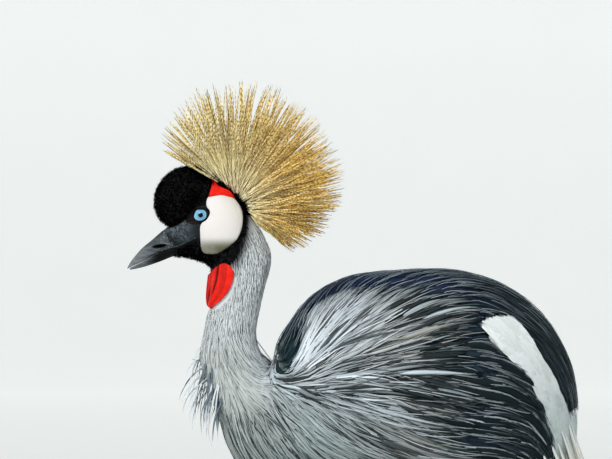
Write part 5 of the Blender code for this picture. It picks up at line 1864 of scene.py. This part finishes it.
def scutes(spacing, depth):
    # broad overlapping plates down the front, fading to pebbles behind
    def relief(travel, turn):
        front = np.clip(np.cos(turn) * 1.6, 0, 1) ** 0.5
        phase = (travel / (spacing * mm)) % 1
        plate = np.sin(phase * math.pi) ** 0.35 * depth
        pebble = np.sin(travel / mm * 2.4 + 2 * np.sin(turn * 5)) * np.sin(turn * 9) * depth * 0.35
        return (plate * front + pebble * (1 - front)) * mm
    return relief


def makeLeg(side):
    for name, part in legShape.items():
        line = [(x, -side * y, z) for x, y, z in part["line"]]
        piece = limb(sided(name + "Scales", side), line, part["radii"], part["rows"], 40, (-1, 0, 0),
                     scutes(5.2, 0.35))
        settle(piece, finishes["leg"], "leg_black", sided(name, side))
    x, y = footShape["x"], -side * footShape["y"]
    hub = limb(sided("footScales", side), ((x, y, 16), (x, y, 11), (x, y, 6), (x, y, -4)),
               (8.6, 10.2, 11, 10),
               40, 40, (-1, 0, 0), scutes(4, 0.25))
    parts = []
    for name, toe in toes.items():
        a = math.radians(toe["turn"])
        way = np.array([-math.cos(a), side * math.sin(a), 0])
        r, long = toe["radius"], toe["length"]
        flat = r - footShape["flat"]
        shares = ((0, 7.5, 1.2), (0.14, 6.6, 1.1), (0.28, flat, 1.0), (0.4, flat, 1.12), (0.52, flat, 0.94),
                  (0.62, flat, 0.9), (0.74, flat, 1.02), (0.86, flat - 0.4, 0.9),
                  (0.95, r * 0.74 - 0.3, 0.76), (1.0, r * 0.7 - 0.3, 0.55))
        line = [(x + way[0] * long * s, y + way[1] * long * s, h) for s, h, _ in shares]
        parts.append(limb("toe", line, [r * f for _, _, f in shares], 90, 28, (0, 0, 1), scutes(3.4, 0.3)))
        start, high = long - 2, r * 0.7 - 0.3
        curve = ((0, high, 0.62), (0.35, high + 0.5, 0.56), (0.65, high, 0.42), (0.9, high - 1.2, 0.2),
                 (1.0, max(high - 2.2, 0.6), 0.06))
        reach = footShape["claw"] + 2
        line = [(x + way[0] * (start + reach * s), y + way[1] * (start + reach * s), h) for s, h, _ in curve]
        claw = limb(f"nail_{sideNames[side]}_{name}", line, [r * f for _, _, f in curve], 30, 20, (0, 0, 1))
        settle(claw, finishes["claw"], "claw_black", f"claw_{sideNames[side]}_{name}")
    joinSolids(hub, parts)
    co = corners(hub)
    co[:, 2] = np.maximum(co[:, 2], 0)
    hub.data.vertices.foreach_set("co", co.ravel())
    closeUp(hub)
    settle(hub, finishes["leg"], "leg_black", sided("foot", side))


for side in (left, right):
    makeLeg(side)
print("legs made")


# floor, backdrop, light and camera

studio = {
    "floorTone": (0.74, 0.75, 0.74), "radius": 12.0, "bend": 1.6, "rise": 3.6,
    "lights": {
        "key": {"place": (-1.5, -2.2, 2.6), "size": 1.4, "power": 76, "tone": (1.0, 0.97, 0.93)},
        "fill": {"place": (1.9, -2.6, 1.3), "size": 2.4, "power": 12, "tone": (0.92, 0.96, 1.0)},
        "top": {"place": (0.4, 0.4, 2.9), "size": 1.8, "power": 28, "tone": (0.96, 0.98, 1.0)},
        "back": {"place": (1.2, 2.0, 1.6), "size": 1.6, "power": 5, "tone": (1.0, 1.0, 1.0)},
    },
    "aim": (-0.05, 0, 0.60), "world": 0.44,
    "camera": (-0.088, -4.0, 0.6874), "lens": 221.9,
}


def makeStudio():
    def floorLook(wire, place):
        grain = noise(wire, place, 3, 3)
        low, high = (tuple(c * f for c in studio["floorTone"]) for f in (0.97, 1.02))
        # the far wall glows a little, so that it stays as pale as the floor
        x, y, z = splitPlace(wire, place)
        away = wire.maths("SQRT", x * x + y * y).step(1.0, 4.2)
        glow = away * (0.25 + 0.15 * y.step(-3.0, 9.0))
        return {"Base Color": grain.mix(low, high), "Emission Color": glow.mix((0, 0, 0), (0.97, 1.0, 0.98))}

    # a round floor that sweeps up into a wall on every side
    radius, bend = studio["radius"], studio["bend"]
    turns = np.linspace(0, math.pi / 2, 24)
    line = [(radius * s, 0.0) for s in np.linspace(0, 1, 30)]
    line += [(radius + bend * math.sin(b), bend - bend * math.cos(b)) for b in turns[1:]]
    line += [(radius + bend, bend + studio["rise"] * s) for s in np.linspace(0.1, 1, 8)]
    around = fullTurn(120)
    points = np.array([[(r * math.cos(a), r * math.sin(a), z) for a in around] for r, z in line])
    floor = wrapSheet("studioFloor", points)
    takesFinish(floor, newFinish("studioFloor", studio["floorTone"], 0.9, floorLook, Emission_Strength=1.0))
    for name, light in studio["lights"].items():
        data = bpy.data.lights.new(name, "AREA")
        data.energy, data.size, data.color = light["power"], light["size"], light["tone"]
        lamp = bpy.data.objects.new(name, data)
        bpy.context.scene.collection.objects.link(lamp)
        lamp.location = light["place"]
        lamp.rotation_euler = (Vector(studio["aim"]) - lamp.location).to_track_quat("-Z", "Y").to_euler()
    world = bpy.data.worlds.new("softRoom")
    bpy.context.scene.world = world
    world.use_nodes = True
    world.node_tree.nodes["Background"].inputs[0].default_value = (0.92, 0.96, 1.0, 1)
    world.node_tree.nodes["Background"].inputs[1].default_value = studio["world"]
    data = bpy.data.cameras.new("camera")
    data.lens, data.sensor_width = studio["lens"], 36
    camera = bpy.data.objects.new("camera", data)
    bpy.context.scene.collection.objects.link(camera)
    camera.location = studio["camera"]
    camera.rotation_euler = (math.pi / 2, 0, 0)
    bpy.context.scene.camera = camera
    bpy.context.scene.view_settings.view_transform = "Standard"


makeStudio()
print("studio set,", sum(tally.values()), "feather triangles:", tally)
